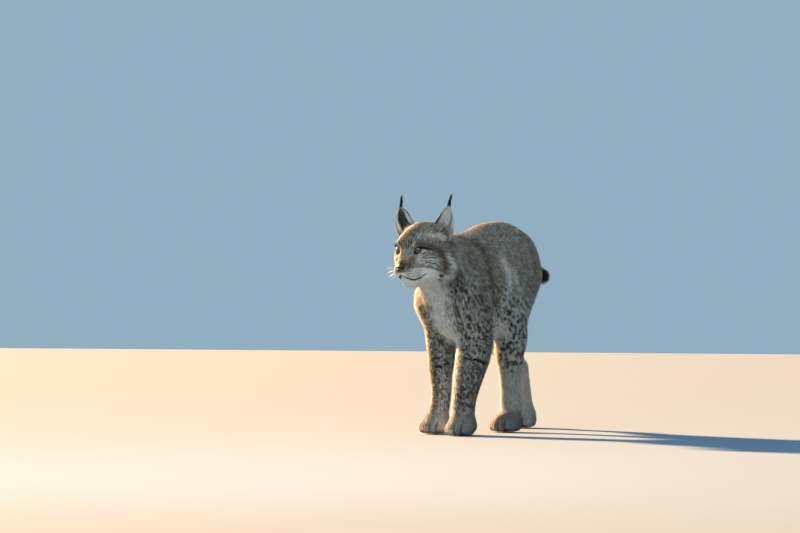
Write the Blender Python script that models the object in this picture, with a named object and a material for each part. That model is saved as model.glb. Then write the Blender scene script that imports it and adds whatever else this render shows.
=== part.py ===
"""Eurasian lynx, standing in mid-step, as a life-size still model.

Frame: metres, +Z up, the lynx walks towards -Y, its left side is +X, and its
four paws stand on the plane Z = 0, under the middle of its bounding box.  The
solids run out to the tips of the coat.

The animal is described by named landmarks (bones and joints) and by masses set
on them.  Each mass is both a rough closed mesh, which is merged with the others
by a voxel Remesh, and a term of a smooth body function, onto which the merged
surface is then drawn.  Thin cuts part the body into its named pieces.
"""

import math

import bmesh
import bpy
import numpy as np
from mathutils import Matrix, Vector

# ---------------------------------------------------------------- main sizes
WITHERS_Z = 0.590        # top of the coat over the shoulder blades
RUMP_Z = 0.632           # top of the arched loin and rump
FORE_TRACK = 0.062       # half distance between the two fore paws, sideways
HIND_TRACK = 0.056       # half distance between the two hind paws, sideways
PAW_LENGTH = 0.112
PAW_WIDTH = 0.094
HEAD_YAW = -12.0         # degrees, turned to the animal's right
HEAD_PITCH = 10.0        # degrees, nose down
EYE_MID = (-0.0316, -0.435, 0.538)   # point midway between the eyes
EYE_RADIUS = 0.0135
CUT = 0.0005             # width of the thin cuts that part the body
GAP = 0.0004             # clearance round inset pieces (eyes, nose, ears)
SHIFT = (0.00015, 0.01648, 0.0)   # moves the whole animal to the frame's origin
VOXEL = 0.0075           # size of the merging grid
BODY_TRIANGLES = 4650    # faces kept on the body after merging, before the cuts

LEFT, RIGHT = 1.0, -1.0

for old in list(bpy.data.objects):
    bpy.data.objects.remove(old)


def v3(*xyz):
    return np.array(xyz, float)


def unit(a):
    a = np.asarray(a, float)
    return a / np.linalg.norm(a)


# ------------------------------------------------------------- body function
def smin(a, b, k):
    """The smaller of two distances, with the crease between them filled over k."""
    h = np.maximum(k - np.abs(a - b), 0.0) / k
    return np.minimum(a, b) - h * h * k * 0.25


def smax(a, b, k):
    return -smin(-a, -b, k)


class Limb:
    """A tapered length of limb with oval ends: radii are (sideways, fore-and-aft)."""

    def __init__(self, a, b, ra, rb, side=(1, 0, 0), k=0.03):
        self.a, self.b = np.asarray(a, float), np.asarray(b, float)
        self.ra = np.array(ra if np.ndim(ra) else (ra, ra), float)
        self.rb = np.array(rb if np.ndim(rb) else (rb, rb), float)
        self.k = k
        self.len = np.linalg.norm(self.b - self.a)
        self.e = (self.b - self.a) / self.len
        s = np.asarray(side, float)
        self.s = unit(s - (s @ self.e) * self.e)
        self.f = np.cross(self.e, self.s)
        self.mid = (self.a + self.b) / 2
        self.reach = self.len / 2 + max(self.ra.max(), self.rb.max())

    def far(self, p):
        r = p - self.a
        w = r @ self.e
        t = np.clip(w / self.len, 0, 1)
        along = w - t * self.len
        u, v = r @ self.s, r @ self.f
        rs = self.ra[0] + (self.rb[0] - self.ra[0]) * t
        rf = self.ra[1] + (self.rb[1] - self.ra[1]) * t
        rm = (rs + rf) / 2
        q = np.sqrt((u / rs) ** 2 + (v / rf) ** 2 + (along / rm) ** 2) + 1e-9
        n = np.sqrt(u * u + v * v + along * along)
        return n - n / q

    def rough(self, bm):
        """A lathed capsule: rings round the limb, closed by a point at each end."""
        around, rings = 16, []
        for i in range(1, 12):
            phi = math.pi * (i / 12 - 0.5)
            c, r = (self.a, self.ra) if phi < 0 else (self.b, self.rb)
            c = c + self.e * math.sin(phi) * (r[0] + r[1]) / 2
            rings.append([bm.verts.new(c + math.cos(phi) * (self.s * r[0] * math.cos(t) + self.f * r[1] * math.sin(t)))
                          for t in (2 * math.pi * j / around for j in range(around))])
        first = bm.verts.new(self.a - self.e * (self.ra[0] + self.ra[1]) / 2)
        last = bm.verts.new(self.b + self.e * (self.rb[0] + self.rb[1]) / 2)
        for j in range(around):
            n = (j + 1) % around
            bm.faces.new((first, rings[0][n], rings[0][j]))
            bm.faces.new((last, rings[-1][j], rings[-1][n]))
            for one, two in zip(rings, rings[1:]):
                bm.faces.new((one[j], one[n], two[n], two[j]))


class Chain:
    """A limb swept smoothly through stations of (point, sideways radius, fore-and-aft radius)."""

    def __init__(self, stations, side=(1, 0, 0), k=0.03, steps=3):
        t = np.arange(len(stations), dtype=float)
        fine = np.linspace(0, t[-1], (len(stations) - 1) * steps + 1)
        rows = np.array([[*c, r, f] for c, r, f in stations])
        rows = np.stack([curve(list(zip(t, rows[:, i])), fine) for i in range(5)], axis=1)
        self.parts = [Limb(a[:3], b[:3], a[3:], b[3:], side) for a, b in zip(rows, rows[1:])]
        self.k = k
        self.mid = (rows[:, :3].min(0) + rows[:, :3].max(0)) / 2
        self.reach = max(np.linalg.norm(q.mid - self.mid) + q.reach for q in self.parts)

    def far(self, p):
        return np.minimum.reduce([q.far(p) for q in self.parts])

    def rough(self, bm):
        for q in self.parts:
            q.rough(bm)


class Oval:
    """An ellipsoid: centre, three radii, and the directions of the first two."""

    def __init__(self, c, r, x=(1, 0, 0), y=(0, 1, 0), k=0.03):
        self.c, self.r = np.asarray(c, float), np.asarray(r, float)
        self.x = unit(x)
        y = np.asarray(y, float)
        self.y = unit(y - (y @ self.x) * self.x)
        self.z = np.cross(self.x, self.y)
        self.k = k
        self.mid, self.reach = self.c, self.r.max()

    def far(self, p):
        r = p - self.c
        u, v, w = r @ self.x, r @ self.y, r @ self.z
        q = np.sqrt((u / self.r[0]) ** 2 + (v / self.r[1]) ** 2 + (w / self.r[2]) ** 2) + 1e-9
        n = np.sqrt(u * u + v * v + w * w)
        return n - n / q

    def rough(self, bm):
        m = Matrix.Identity(4)
        for i in range(3):
            m[i][0], m[i][1], m[i][2] = self.x[i], self.y[i], self.z[i]
            m[i][3] = self.c[i]
        m = m @ Matrix.Diagonal((*self.r, 1))
        bmesh.ops.create_icosphere(bm, subdivisions=3, radius=1.0, matrix=m)


def curve(stations, y):
    """Smooth (Catmull-Rom) interpolation of a table of (y, value) stations."""
    t = np.array([s[0] for s in stations], float)
    v = np.array([s[1] for s in stations], float)
    m = np.gradient(v, t)
    y = np.clip(y, t[0], t[-1])
    i = np.clip(np.searchsorted(t, y) - 1, 0, len(t) - 2)
    h = t[i + 1] - t[i]
    s = (y - t[i]) / h
    return ((2 * s**3 - 3 * s**2 + 1) * v[i] + (s**3 - 2 * s**2 + s) * h * m[i]
            + (-2 * s**3 + 3 * s**2) * v[i + 1] + (s**3 - s**2) * h * m[i + 1])


class Barrel:
    """The trunk: back line, belly line, half width and height of the widest point, along Y."""

    TOP = ((-0.275, 0.500), (-0.20, 0.560), (-0.12, WITHERS_Z), (-0.05, 0.611), (0.02, 0.626),
           (0.085, RUMP_Z), (0.135, 0.631), (0.18, 0.619), (0.225, 0.592), (0.26, 0.554), (0.285, 0.50))
    BELLY = ((-0.275, 0.400), (-0.24, 0.330), (-0.19, 0.285), (-0.13, 0.266), (-0.05, 0.268),
             (0.04, 0.290), (0.12, 0.326), (0.19, 0.370), (0.24, 0.410), (0.265, 0.440), (0.285, 0.475))
    HALF = ((-0.275, 0.035), (-0.24, 0.066), (-0.19, 0.086), (-0.12, 0.096), (-0.03, 0.101),
            (0.06, 0.097), (0.12, 0.086), (0.17, 0.074), (0.22, 0.061), (0.26, 0.045), (0.285, 0.021))
    WIDEST = ((-0.275, 0.44), (-0.19, 0.405), (-0.10, 0.395), (0.0, 0.41), (0.10, 0.45),
              (0.20, 0.48), (0.285, 0.49))

    k = 0.03

    def __init__(self):
        self.y0, self.y1 = self.HALF[0][0], self.HALF[-1][0]
        self.mid = v3(0, (self.y0 + self.y1) / 2, 0.45)
        self.reach = 0.36

    def far(self, p):
        y = np.clip(p[:, 1], self.y0, self.y1)
        over = np.abs(p[:, 1] - y)
        top, low = curve(self.TOP, y), curve(self.BELLY, y)
        half, zc = curve(self.HALF, y), curve(self.WIDEST, y)
        dz = p[:, 2] - zc
        high = np.where(dz > 0, top - zc, zc - low)
        n = np.where(dz > 0, 2.15, 2.1)
        x = np.abs(p[:, 0])
        q = ((x / half) ** n + (np.abs(dz) / high) ** n) ** (1 / n) + 1e-9
        r = np.sqrt(x * x + dz * dz)
        d = r - r / q
        return np.where(over > 0, np.sqrt(np.maximum(d, 0) ** 2 + over**2) + np.minimum(d, 0), d)

    def rough(self, bm):
        rings, around = [], 28
        for i in range(27):
            y = self.y0 + (self.y1 - self.y0) * i / 26
            ya = np.array([y])
            top, low = curve(self.TOP, ya)[0], curve(self.BELLY, ya)[0]
            half, zc = curve(self.HALF, ya)[0], curve(self.WIDEST, ya)[0]
            ring = []
            for j in range(around):
                a = 2 * math.pi * j / around
                high = top - zc if math.sin(a) > 0 else zc - low
                ring.append(bm.verts.new((half * math.cos(a), y, zc + high * math.sin(a))))
            rings.append(ring)
        for one, two in zip(rings, rings[1:]):
            for j in range(around):
                n = (j + 1) % around
                bm.faces.new((one[j], two[j], two[n], one[n]))
        bm.faces.new(rings[0])
        bm.faces.new(rings[-1][::-1])


# ---------------------------------------------------------------- the head
YAW, PITCH = math.radians(HEAD_YAW), math.radians(HEAD_PITCH)
HEAD_F = v3(math.sin(YAW) * math.cos(PITCH), -math.cos(YAW) * math.cos(PITCH), -math.sin(PITCH))
HEAD_L = unit(np.cross((0, 0, 1), HEAD_F))
HEAD_U = np.cross(HEAD_F, HEAD_L)
EYE_SIDE, EYE_BACK = 0.0345, 0.0125      # centre of each eyeball from the midpoint


def head_point(f, l, u):
    """A point of the head: forward, to its left and up from midway between the eyes."""
    return v3(*EYE_MID) + f * HEAD_F + l * HEAD_L + u * HEAD_U


def head_oval(f, l, u, rf, rl, ru, tilt=0.0, turn=0.0, k=0.02):
    """An oval mass of the head.  tilt lifts its front, turn swings its front outwards, in degrees."""
    a, b = math.radians(tilt), math.radians(turn)
    x = HEAD_F * math.cos(a) * math.cos(b) + HEAD_L * math.sin(b) * math.cos(a) + HEAD_U * math.sin(a)
    y = HEAD_L * math.cos(b) - HEAD_F * math.sin(b)
    return Oval(head_point(f, l, u), (rf, rl, ru), x, y, k)


def head_masses():
    out = [
        head_oval(-0.085, 0, 0.012, 0.072, 0.062, 0.060, tilt=12, k=0.03),      # brain case
        head_oval(-0.035, 0, 0.012, 0.046, 0.046, 0.036, tilt=35, k=0.025),     # forehead
        head_oval(0.000, 0, -0.020, 0.042, 0.0190, 0.020, tilt=-45, k=0.028),   # bridge of the nose
        head_oval(0.029, 0, -0.044, 0.012, 0.0165, 0.014, k=0.014),             # tip of the nose
        head_oval(0.001, 0, -0.052, 0.031, 0.034, 0.026, tilt=-6, k=0.030),     # muzzle
        head_oval(-0.004, 0, -0.083, 0.026, 0.023, 0.018, tilt=-14, k=0.018),   # chin
        head_oval(-0.040, 0, -0.075, 0.050, 0.044, 0.033, tilt=-18, k=0.03),    # lower jaws and throat
        head_oval(-0.115, 0, -0.045, 0.070, 0.062, 0.066, k=0.04),              # nape and gullet
    ]
    for s in (LEFT, RIGHT):
        out += [
            head_oval(-0.036, s * 0.038, -0.024, 0.044, 0.028, 0.032, turn=s * -16, k=0.035),  # cheek bone
            head_oval(-0.016, s * 0.034, 0.013, 0.019, 0.019, 0.011, tilt=20, turn=s * -30, k=0.014),  # brow
            head_oval(0.012, s * 0.0170, -0.059, 0.023, 0.0180, 0.0165, turn=s * -14, k=0.020),   # whisker pad
            head_oval(-0.066, s * 0.052, -0.052, 0.038, 0.034, 0.046, tilt=25, turn=s * -25, k=0.03),  # cheek ruff
            head_oval(-0.080, s * 0.062, -0.070, 0.026, 0.024, 0.040, tilt=20, turn=s * -30, k=0.025),  # ruff's tip
            head_oval(-0.090, s * 0.053, 0.036, 0.025, 0.026, 0.026, k=0.025),      # root of the ear
        ]
    return out


# ---------------------------------------------------------------- the limbs
def fore_leg(s, paw_y, wrist, elbow, shoulder, blade, girth, tuck=0.0):
    """Masses of one fore leg.  s is its side; girth holds its half widths and half depths at the elbow, the
    forearm, half way down, the wrist and the ankle; tuck lifts the heel of the paw."""
    paw = v3(s * FORE_TRACK, paw_y, 0)
    arm = elbow * 0.72 + wrist * 0.28
    mid = elbow * 0.40 + wrist * 0.60
    out = [
        Limb(blade, shoulder, (0.028, 0.050), (0.038, 0.056), k=0.05),                 # shoulder blade
        Chain(((shoulder, 0.038, 0.058), (elbow + v3(0, -0.006, 0.02), *girth[0]),
               (arm + v3(-0.002 * s, 0.004, 0), *girth[1]), (mid, *girth[2]),
               (wrist, *girth[3]), (paw + v3(0, 0.008, 0.048), *girth[4])), k=0.045),
    ]
    return out + paw_masses(paw, s, 0.0, tuck)


def hind_leg(s, paw, turn, hock, knee, hip, girth):
    """Masses of one hind leg.  girth holds its half widths and half depths at the knee, the shank, the hock and
    half way down the foot."""
    heel = hock + v3(0, 0.014, 0.006)
    shank = hock * 0.5 + knee * 0.5
    out = [
        Oval(hip + v3(0, -0.005, -0.02), (0.046, 0.085, 0.095), k=0.05),                   # buttock
        Chain(((hip + v3(0, -0.01, -0.03), 0.042, 0.076), (hip * 0.45 + knee * 0.55, 0.043, 0.072),
               (knee + v3(0, 0.006, 0), *girth[0]), (shank, *girth[1]),
               (hock, *girth[2]), (hock * 0.45 + paw * 0.55 + v3(0, 0.018, 0), *girth[3]),
               (paw + v3(0, 0.024, 0.042), 0.033, 0.034)), k=0.045),
        Limb(hip + v3(0, 0.030, -0.05), shank + v3(0, 0.022, 0.03), (0.032, 0.046), (0.030, 0.032), k=0.04),
        Limb(heel, hock + v3(0, 0, -0.012), 0.019, 0.024, k=0.02),                          # heel
    ]
    return out + paw_masses(paw, s, turn, 0.0)


def paw_masses(paw, s, turn, tuck):
    """One broad furred paw: the body of the paw, four toes side by side and the heel pad."""
    t = math.radians(turn)
    fwd, side = v3(math.sin(t), -math.cos(t), 0), v3(math.cos(t), math.sin(t), 0)
    up = v3(0, 0, 1)
    w, n = PAW_WIDTH / 2, PAW_LENGTH / 2
    out = [
        Oval(paw + up * (0.032 + tuck * 0.5) + fwd * 0.002, (w * 0.80, n * 0.80, 0.031), side, fwd, k=0.02),
        Oval(paw - fwd * 0.018 + up * (0.018 + tuck), (w * 0.74, n * 0.52, 0.021), side, fwd, k=0.02),
    ]
    for i, (across, ahead, r) in enumerate(((-0.030, 0.020, 0.0165), (-0.0105, 0.033, 0.0180),
                                            (0.0105, 0.033, 0.0180), (0.030, 0.020, 0.0165))):
        out.append(Oval(paw + side * across * (w / 0.047) + fwd * (ahead - 0.004) + up * 0.0185,
                        (r, r * 1.35, r * 1.20), side, fwd, k=0.012))
    return out


def body_masses():
    neck_top = head_point(-0.115, 0, -0.020)
    left_fore = fore_leg(LEFT, -0.268, v3(0.062, -0.250, 0.112), v3(0.064, -0.166, 0.300),
                         v3(0.062, -0.215, 0.400), v3(0.036, -0.120, 0.530),
                         ((0.046, 0.058), (0.053, 0.056), (0.0470, 0.046), (0.0370, 0.037), (0.034, 0.036)), tuck=0.006)
    right_fore = fore_leg(RIGHT, -0.184, v3(-0.061, -0.156, 0.112), v3(-0.083, -0.120, 0.300),
                          v3(-0.066, -0.200, 0.395), v3(-0.036, -0.120, 0.530),
                          ((0.044, 0.056), (0.0425, 0.054), (0.0360, 0.043), (0.0295, 0.034), (0.0295, 0.034)))
    left_hind = hind_leg(LEFT, v3(HIND_TRACK, 0.046, 0), -6.0, v3(0.051, 0.080, 0.168),
                         v3(0.062, 0.052, 0.345), v3(0.046, 0.170, 0.515),
                         ((0.050, 0.062), (0.0470, 0.057), (0.0325, 0.0365), (0.0330, 0.034)))
    right_hind = hind_leg(RIGHT, v3(-HIND_TRACK, 0.388, 0), 0.0, v3(-0.050, 0.350, 0.184),
                          v3(-0.064, 0.165, 0.320), v3(-0.046, 0.185, 0.510),
                          ((0.041, 0.056), (0.0355, 0.047), (0.0285, 0.0345), (0.0295, 0.032)))
    trunk = [
        Barrel(),
        Oval((0, -0.225, 0.400), (0.078, 0.070, 0.105), k=0.05),                              # breast
        Limb((0, -0.150, 0.470), neck_top, (0.074, 0.098), (0.062, 0.074), k=0.06),           # neck
        Limb((0, -0.20, 0.385), head_point(-0.075, 0, -0.075), (0.058, 0.060), (0.046, 0.048), k=0.05),  # throat
    ]
    tail = [
        Chain(((v3(0, 0.240, 0.560), 0.030, 0.030), (v3(0.002, 0.276, 0.524), 0.027, 0.027),
               (v3(0.007, 0.315, 0.491), 0.025, 0.025), (v3(0.018, 0.370, 0.469), 0.0265, 0.0265)), k=0.03),
    ]
    return {"trunk": trunk, "tail": tail, "head": head_masses(), "left_fore": left_fore,
            "right_fore": right_fore, "left_hind": left_hind, "right_hind": right_hind}


MASSES = body_masses()
ALL = [m for group in MASSES.values() for m in group]
# the orbits, hollowed out of the face so that the eyes lie open
HOLLOWS = [head_oval(0.010, s * 0.0375, -0.0005, 0.0150, 0.0165, 0.0120, turn=s * 18, k=0.012) for s in (LEFT, RIGHT)]


def body(p, masses=None):
    """Distance to the coat's outer surface, negative inside."""
    d = np.full(len(p), 1.0)
    for m in masses or ALL:
        near = np.nonzero(((p - m.mid) ** 2).sum(1) < (m.reach + 0.07) ** 2)[0]
        if len(near):
            d[near] = smin(d[near], m.far(p[near]), m.k)
    for m in HOLLOWS:
        near = np.nonzero(((p - m.mid) ** 2).sum(1) < (m.reach + 0.04) ** 2)[0]
        if len(near):
            d[near] = smax(d[near], -m.far(p[near]), m.k)
    return d


def slope(p, fn, h=0.0008):
    g = np.empty_like(p)
    for i in range(3):
        step = np.zeros(3)
        step[i] = h
        g[:, i] = (fn(p + step) - fn(p - step)) / (2 * h)
    return g


def settle(p, fn, rounds=6, most=0.012):
    """Draws points onto the surface where fn is zero."""
    for _ in range(rounds):
        d, g = fn(p), slope(p, fn)
        gg = np.maximum((g * g).sum(1), 0.05)
        step = g * (d / gg)[:, None]
        size = np.linalg.norm(step, axis=1)
        step *= np.minimum(1, most / np.maximum(size, 1e-9))[:, None]
        p = p - step
    return p


# ------------------------------------------------------------ mesh helpers
def make_object(name, mesh_or_bm):
    if isinstance(mesh_or_bm, bmesh.types.BMesh):
        mesh = bpy.data.meshes.new(name)
        mesh_or_bm.to_mesh(mesh)
        mesh_or_bm.free()
    else:
        mesh = mesh_or_bm
        mesh.name = name
    ob = bpy.data.objects.new(name, mesh)
    bpy.context.scene.collection.objects.link(ob)
    return ob


def paint(ob, colour, rough):
    mat = bpy.data.materials.get(ob.name) or bpy.data.materials.new(ob.name)
    mat.use_nodes = True
    shader = mat.node_tree.nodes["Principled BSDF"]
    shader.inputs["Base Color"].default_value = (*colour, 1)
    shader.inputs["Roughness"].default_value = rough
    shader.inputs["Metallic"].default_value = 0.0
    mat.diffuse_color = (*colour, 1)
    ob.data.materials.clear()
    ob.data.materials.append(mat)


def evaluated(ob):
    """A new mesh of the object with its modifiers applied."""
    bpy.context.view_layer.update()
    return bpy.data.meshes.new_from_object(ob.evaluated_get(bpy.context.evaluated_depsgraph_get()))


def apply_modifiers(ob):
    mesh = evaluated(ob)
    ob.modifiers.clear()
    old = ob.data
    ob.data = mesh
    bpy.data.meshes.remove(old)


def points_of(mesh):
    co = np.empty(len(mesh.vertices) * 3, np.float32)
    mesh.vertices.foreach_get("co", co)
    return co.reshape(-1, 3).astype(float)


def set_points(mesh, p):
    mesh.vertices.foreach_set("co", p.astype(np.float32).ravel())
    mesh.update()


def relax(mesh, p, rounds=1, share=0.5):
    """Evens out the mesh: each point moves towards the mean of its neighbours."""
    e = np.empty(len(mesh.edges) * 2, np.int32)
    mesh.edges.foreach_get("vertices", e)
    e = e.reshape(-1, 2)
    for _ in range(rounds):
        total, n = np.zeros_like(p), np.zeros(len(p))
        for i, j in ((0, 1), (1, 0)):
            for c in range(3):
                total[:, c] += np.bincount(e[:, i], weights=p[e[:, j], c], minlength=len(p))
            n += np.bincount(e[:, i], minlength=len(p))
        p = p + share * (total / np.maximum(n, 1)[:, None] - p)
    return p


def merged_body(voxel, masses, level=0.0):
    """One closed skin round all the masses, drawn onto the body function."""
    bm = bmesh.new()
    for m in masses:
        m.rough(bm)
    bmesh.ops.recalc_face_normals(bm, faces=bm.faces)
    ob = make_object("merging", bm)
    mod = ob.modifiers.new("merge", "REMESH")
    mod.mode, mod.voxel_size, mod.adaptivity = "VOXEL", voxel, 0.0
    apply_modifiers(ob)
    fn = lambda q: body(q, masses) - level
    p = points_of(ob.data)
    p = relax(ob.data, p, 2)
    for _ in range(3):
        p = settle(p, fn, 2)
        p = relax(ob.data, p, 1, 0.4)
    p = settle(p, fn, 4)
    set_points(ob.data, p)
    return ob


# ------------------------------------------------------- ears, eyes and nose
def ear_mesh(s):
    """A cupped, pointed ear with its tuft: one closed loft of rings from root to tuft tip."""
    inner, outer = v3(-0.084, 0.024, 0.050), v3(-0.098, 0.080, 0.012)
    turned = v3(0.005, 0.006, 0.0) if s < 0 else v3(0, 0, 0)      # the right ear is swung further out
    tip, tuft = v3(-0.102, 0.092, 0.119), v3(-0.113, 0.092, 0.148)
    back = unit((-0.80, -0.52, 0.30))           # the way the cup is hollowed
    bm, rings, across = bmesh.new(), [], 7
    for i in range(10):
        t = i / 9
        a = inner + (tip - inner) * t + v3(0, -0.004, 0.002) * math.sin(math.pi * t)
        b = outer + (tip - outer) * t + (v3(0, 0.020, 0.004) + turned) * math.sin(math.pi * t**0.8)
        wide = 1 - t
        cup, thick = 0.020 * wide**0.8, 0.0022 + 0.0035 * wide
        front, rear = [], []
        for j in range(across):
            w = j / (across - 1)
            spread = 0.5 - 0.5 * math.cos(math.pi * w) if t > 0.5 else w
            hollow = cup * math.sin(math.pi * w) ** 0.8 if 0 < w < 1 else 0.0
            c = a + (b - a) * spread + back * hollow
            edge = 0.35 + 0.65 * math.sin(math.pi * w)
            front.append(c - back * thick * 0.5 * edge)
            rear.append(c + back * thick * 0.5 * edge)
        if t == 1:
            for j in range(across):
                turn = math.pi * j / (across - 1)
                ring_in = v3(0, -math.cos(turn), 0) * 0.0030
                front[j] = tip + ring_in - back * 0.0026 * (0.2 + math.sin(turn))
                rear[j] = tip + ring_in + back * 0.0026 * (0.2 + math.sin(turn))
        rings.append(front + rear[::-1])
    centre = sum(rings[-1]) / len(rings[-1])
    for t, size in ((0.35, 0.85), (0.7, 0.55), (1.0, 0.22)):
        c = tip + (tuft - tip) * t
        rings.append([c + (q - centre) * size for q in rings[9]])
    loops = [[bm.verts.new(head_point(q[0], s * q[1], q[2])) for q in ring] for ring in rings]
    n = len(loops[0])
    for one, two in zip(loops, loops[1:]):
        for j in range(n):
            bm.faces.new((one[j], one[(j + 1) % n], two[(j + 1) % n], two[j]))
    bm.faces.new(loops[0][::-1])
    bm.faces.new(loops[-1])
    bmesh.ops.recalc_face_normals(bm, faces=bm.faces)
    return bm


def ball(name, centre, radii, colour, rough, level=3):
    """A closed oval lying along the head's axes."""
    bm = bmesh.new()
    head_frame = Matrix([[HEAD_F[i], HEAD_L[i], HEAD_U[i], centre[i]] for i in range(3)] + [[0, 0, 0, 1]])
    bmesh.ops.create_icosphere(bm, subdivisions=level, radius=1.0, matrix=head_frame @ Matrix.Diagonal((*radii, 1)))
    ob = make_object(name, bm)
    paint(ob, colour, rough)
    return ob


def subtract(ob, tool, remove=True):
    tool.hide_render = True
    tool.display_type = "WIRE"
    mod = ob.modifiers.new("cut", "BOOLEAN")
    mod.operation, mod.solver, mod.object = "DIFFERENCE", "EXACT", tool
    apply_modifiers(ob)
    drop_flaps(ob)
    if remove:
        bpy.data.objects.remove(tool)


def drop_flaps(ob):
    """Removes pairs of faces that lie back to back on the same corners."""
    bm = bmesh.new()
    bm.from_mesh(ob.data)
    seen, flaps = {}, set()
    for f in bm.faces:
        key = frozenset(v.index for v in f.verts)
        if key in seen:
            flaps.update((f, seen[key]))
        seen[key] = f
    if flaps:
        bmesh.ops.delete(bm, geom=list(flaps), context="FACES_ONLY")
        bmesh.ops.delete(bm, geom=[e for e in bm.edges if not e.link_faces], context="EDGES")
        bmesh.ops.delete(bm, geom=[v for v in bm.verts if not v.link_faces], context="VERTS")
        bm.to_mesh(ob.data)
    bm.free()


def slab(name, centre, normal, along, wide, high):
    """A thin box for parting the body: it lies square to normal, wide in the direction along."""
    n = unit(normal)
    a = unit(np.asarray(along, float) - (np.asarray(along, float) @ n) * n)
    u = np.cross(n, a)
    c = np.asarray(centre, float)
    bm = bmesh.new()
    frame = Matrix([[a[i], u[i], n[i], c[i]] for i in range(3)] + [[0, 0, 0, 1]])
    bmesh.ops.create_cube(bm, size=1.0, matrix=frame @ Matrix.Diagonal((wide, high, CUT, 1)))
    return make_object(name, bm)


def flatten_paws(ob):
    """Takes off what lies under the floor, so that each paw stands on flats at Z = 0."""
    bm = bmesh.new()
    bm.from_mesh(ob.data)
    whole = list(bm.verts) + list(bm.edges) + list(bm.faces)
    cut = bmesh.ops.bisect_plane(bm, geom=whole, dist=1e-6, plane_co=(0, 0, 0), plane_no=(0, 0, 1), clear_inner=True)
    rim = [e for e in cut["geom_cut"] if isinstance(e, bmesh.types.BMEdge)]
    bmesh.ops.holes_fill(bm, edges=rim, sides=0)
    bmesh.ops.triangulate(bm, faces=[f for f in bm.faces if len(f.verts) > 4])
    bmesh.ops.recalc_face_normals(bm, faces=bm.faces)
    bm.to_mesh(ob.data)
    bm.free()


def islands(ob):
    """The separate closed bodies of an object's mesh, each as a new bmesh."""
    bm = bmesh.new()
    bm.from_mesh(ob.data)
    bm.faces.ensure_lookup_table()
    seen, out = set(), []
    for face in bm.faces:
        if face.index in seen:
            continue
        group, stack = [], [face]
        seen.add(face.index)
        while stack:
            f = stack.pop()
            group.append(f)
            for e in f.edges:
                for g in e.link_faces:
                    if g.index not in seen:
                        seen.add(g.index)
                        stack.append(g)
        new, index = bmesh.new(), {}
        for f in group:
            for v in f.verts:
                if v not in index:
                    index[v] = new.verts.new(v.co)
        for f in group:
            new.faces.new([index[v] for v in f.verts])
        bmesh.ops.recalc_face_normals(new, faces=new.faces)
        out.append(new)
    bm.free()
    return out


# ------------------------------------------------------------- the build
GREY, PALE, BLACK = (0.36, 0.31, 0.26), (0.78, 0.74, 0.68), (0.03, 0.027, 0.025)
BROWN, AMBER, NOSE_RED = (0.30, 0.25, 0.20), (0.55, 0.36, 0.16), (0.30, 0.15, 0.12)


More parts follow.
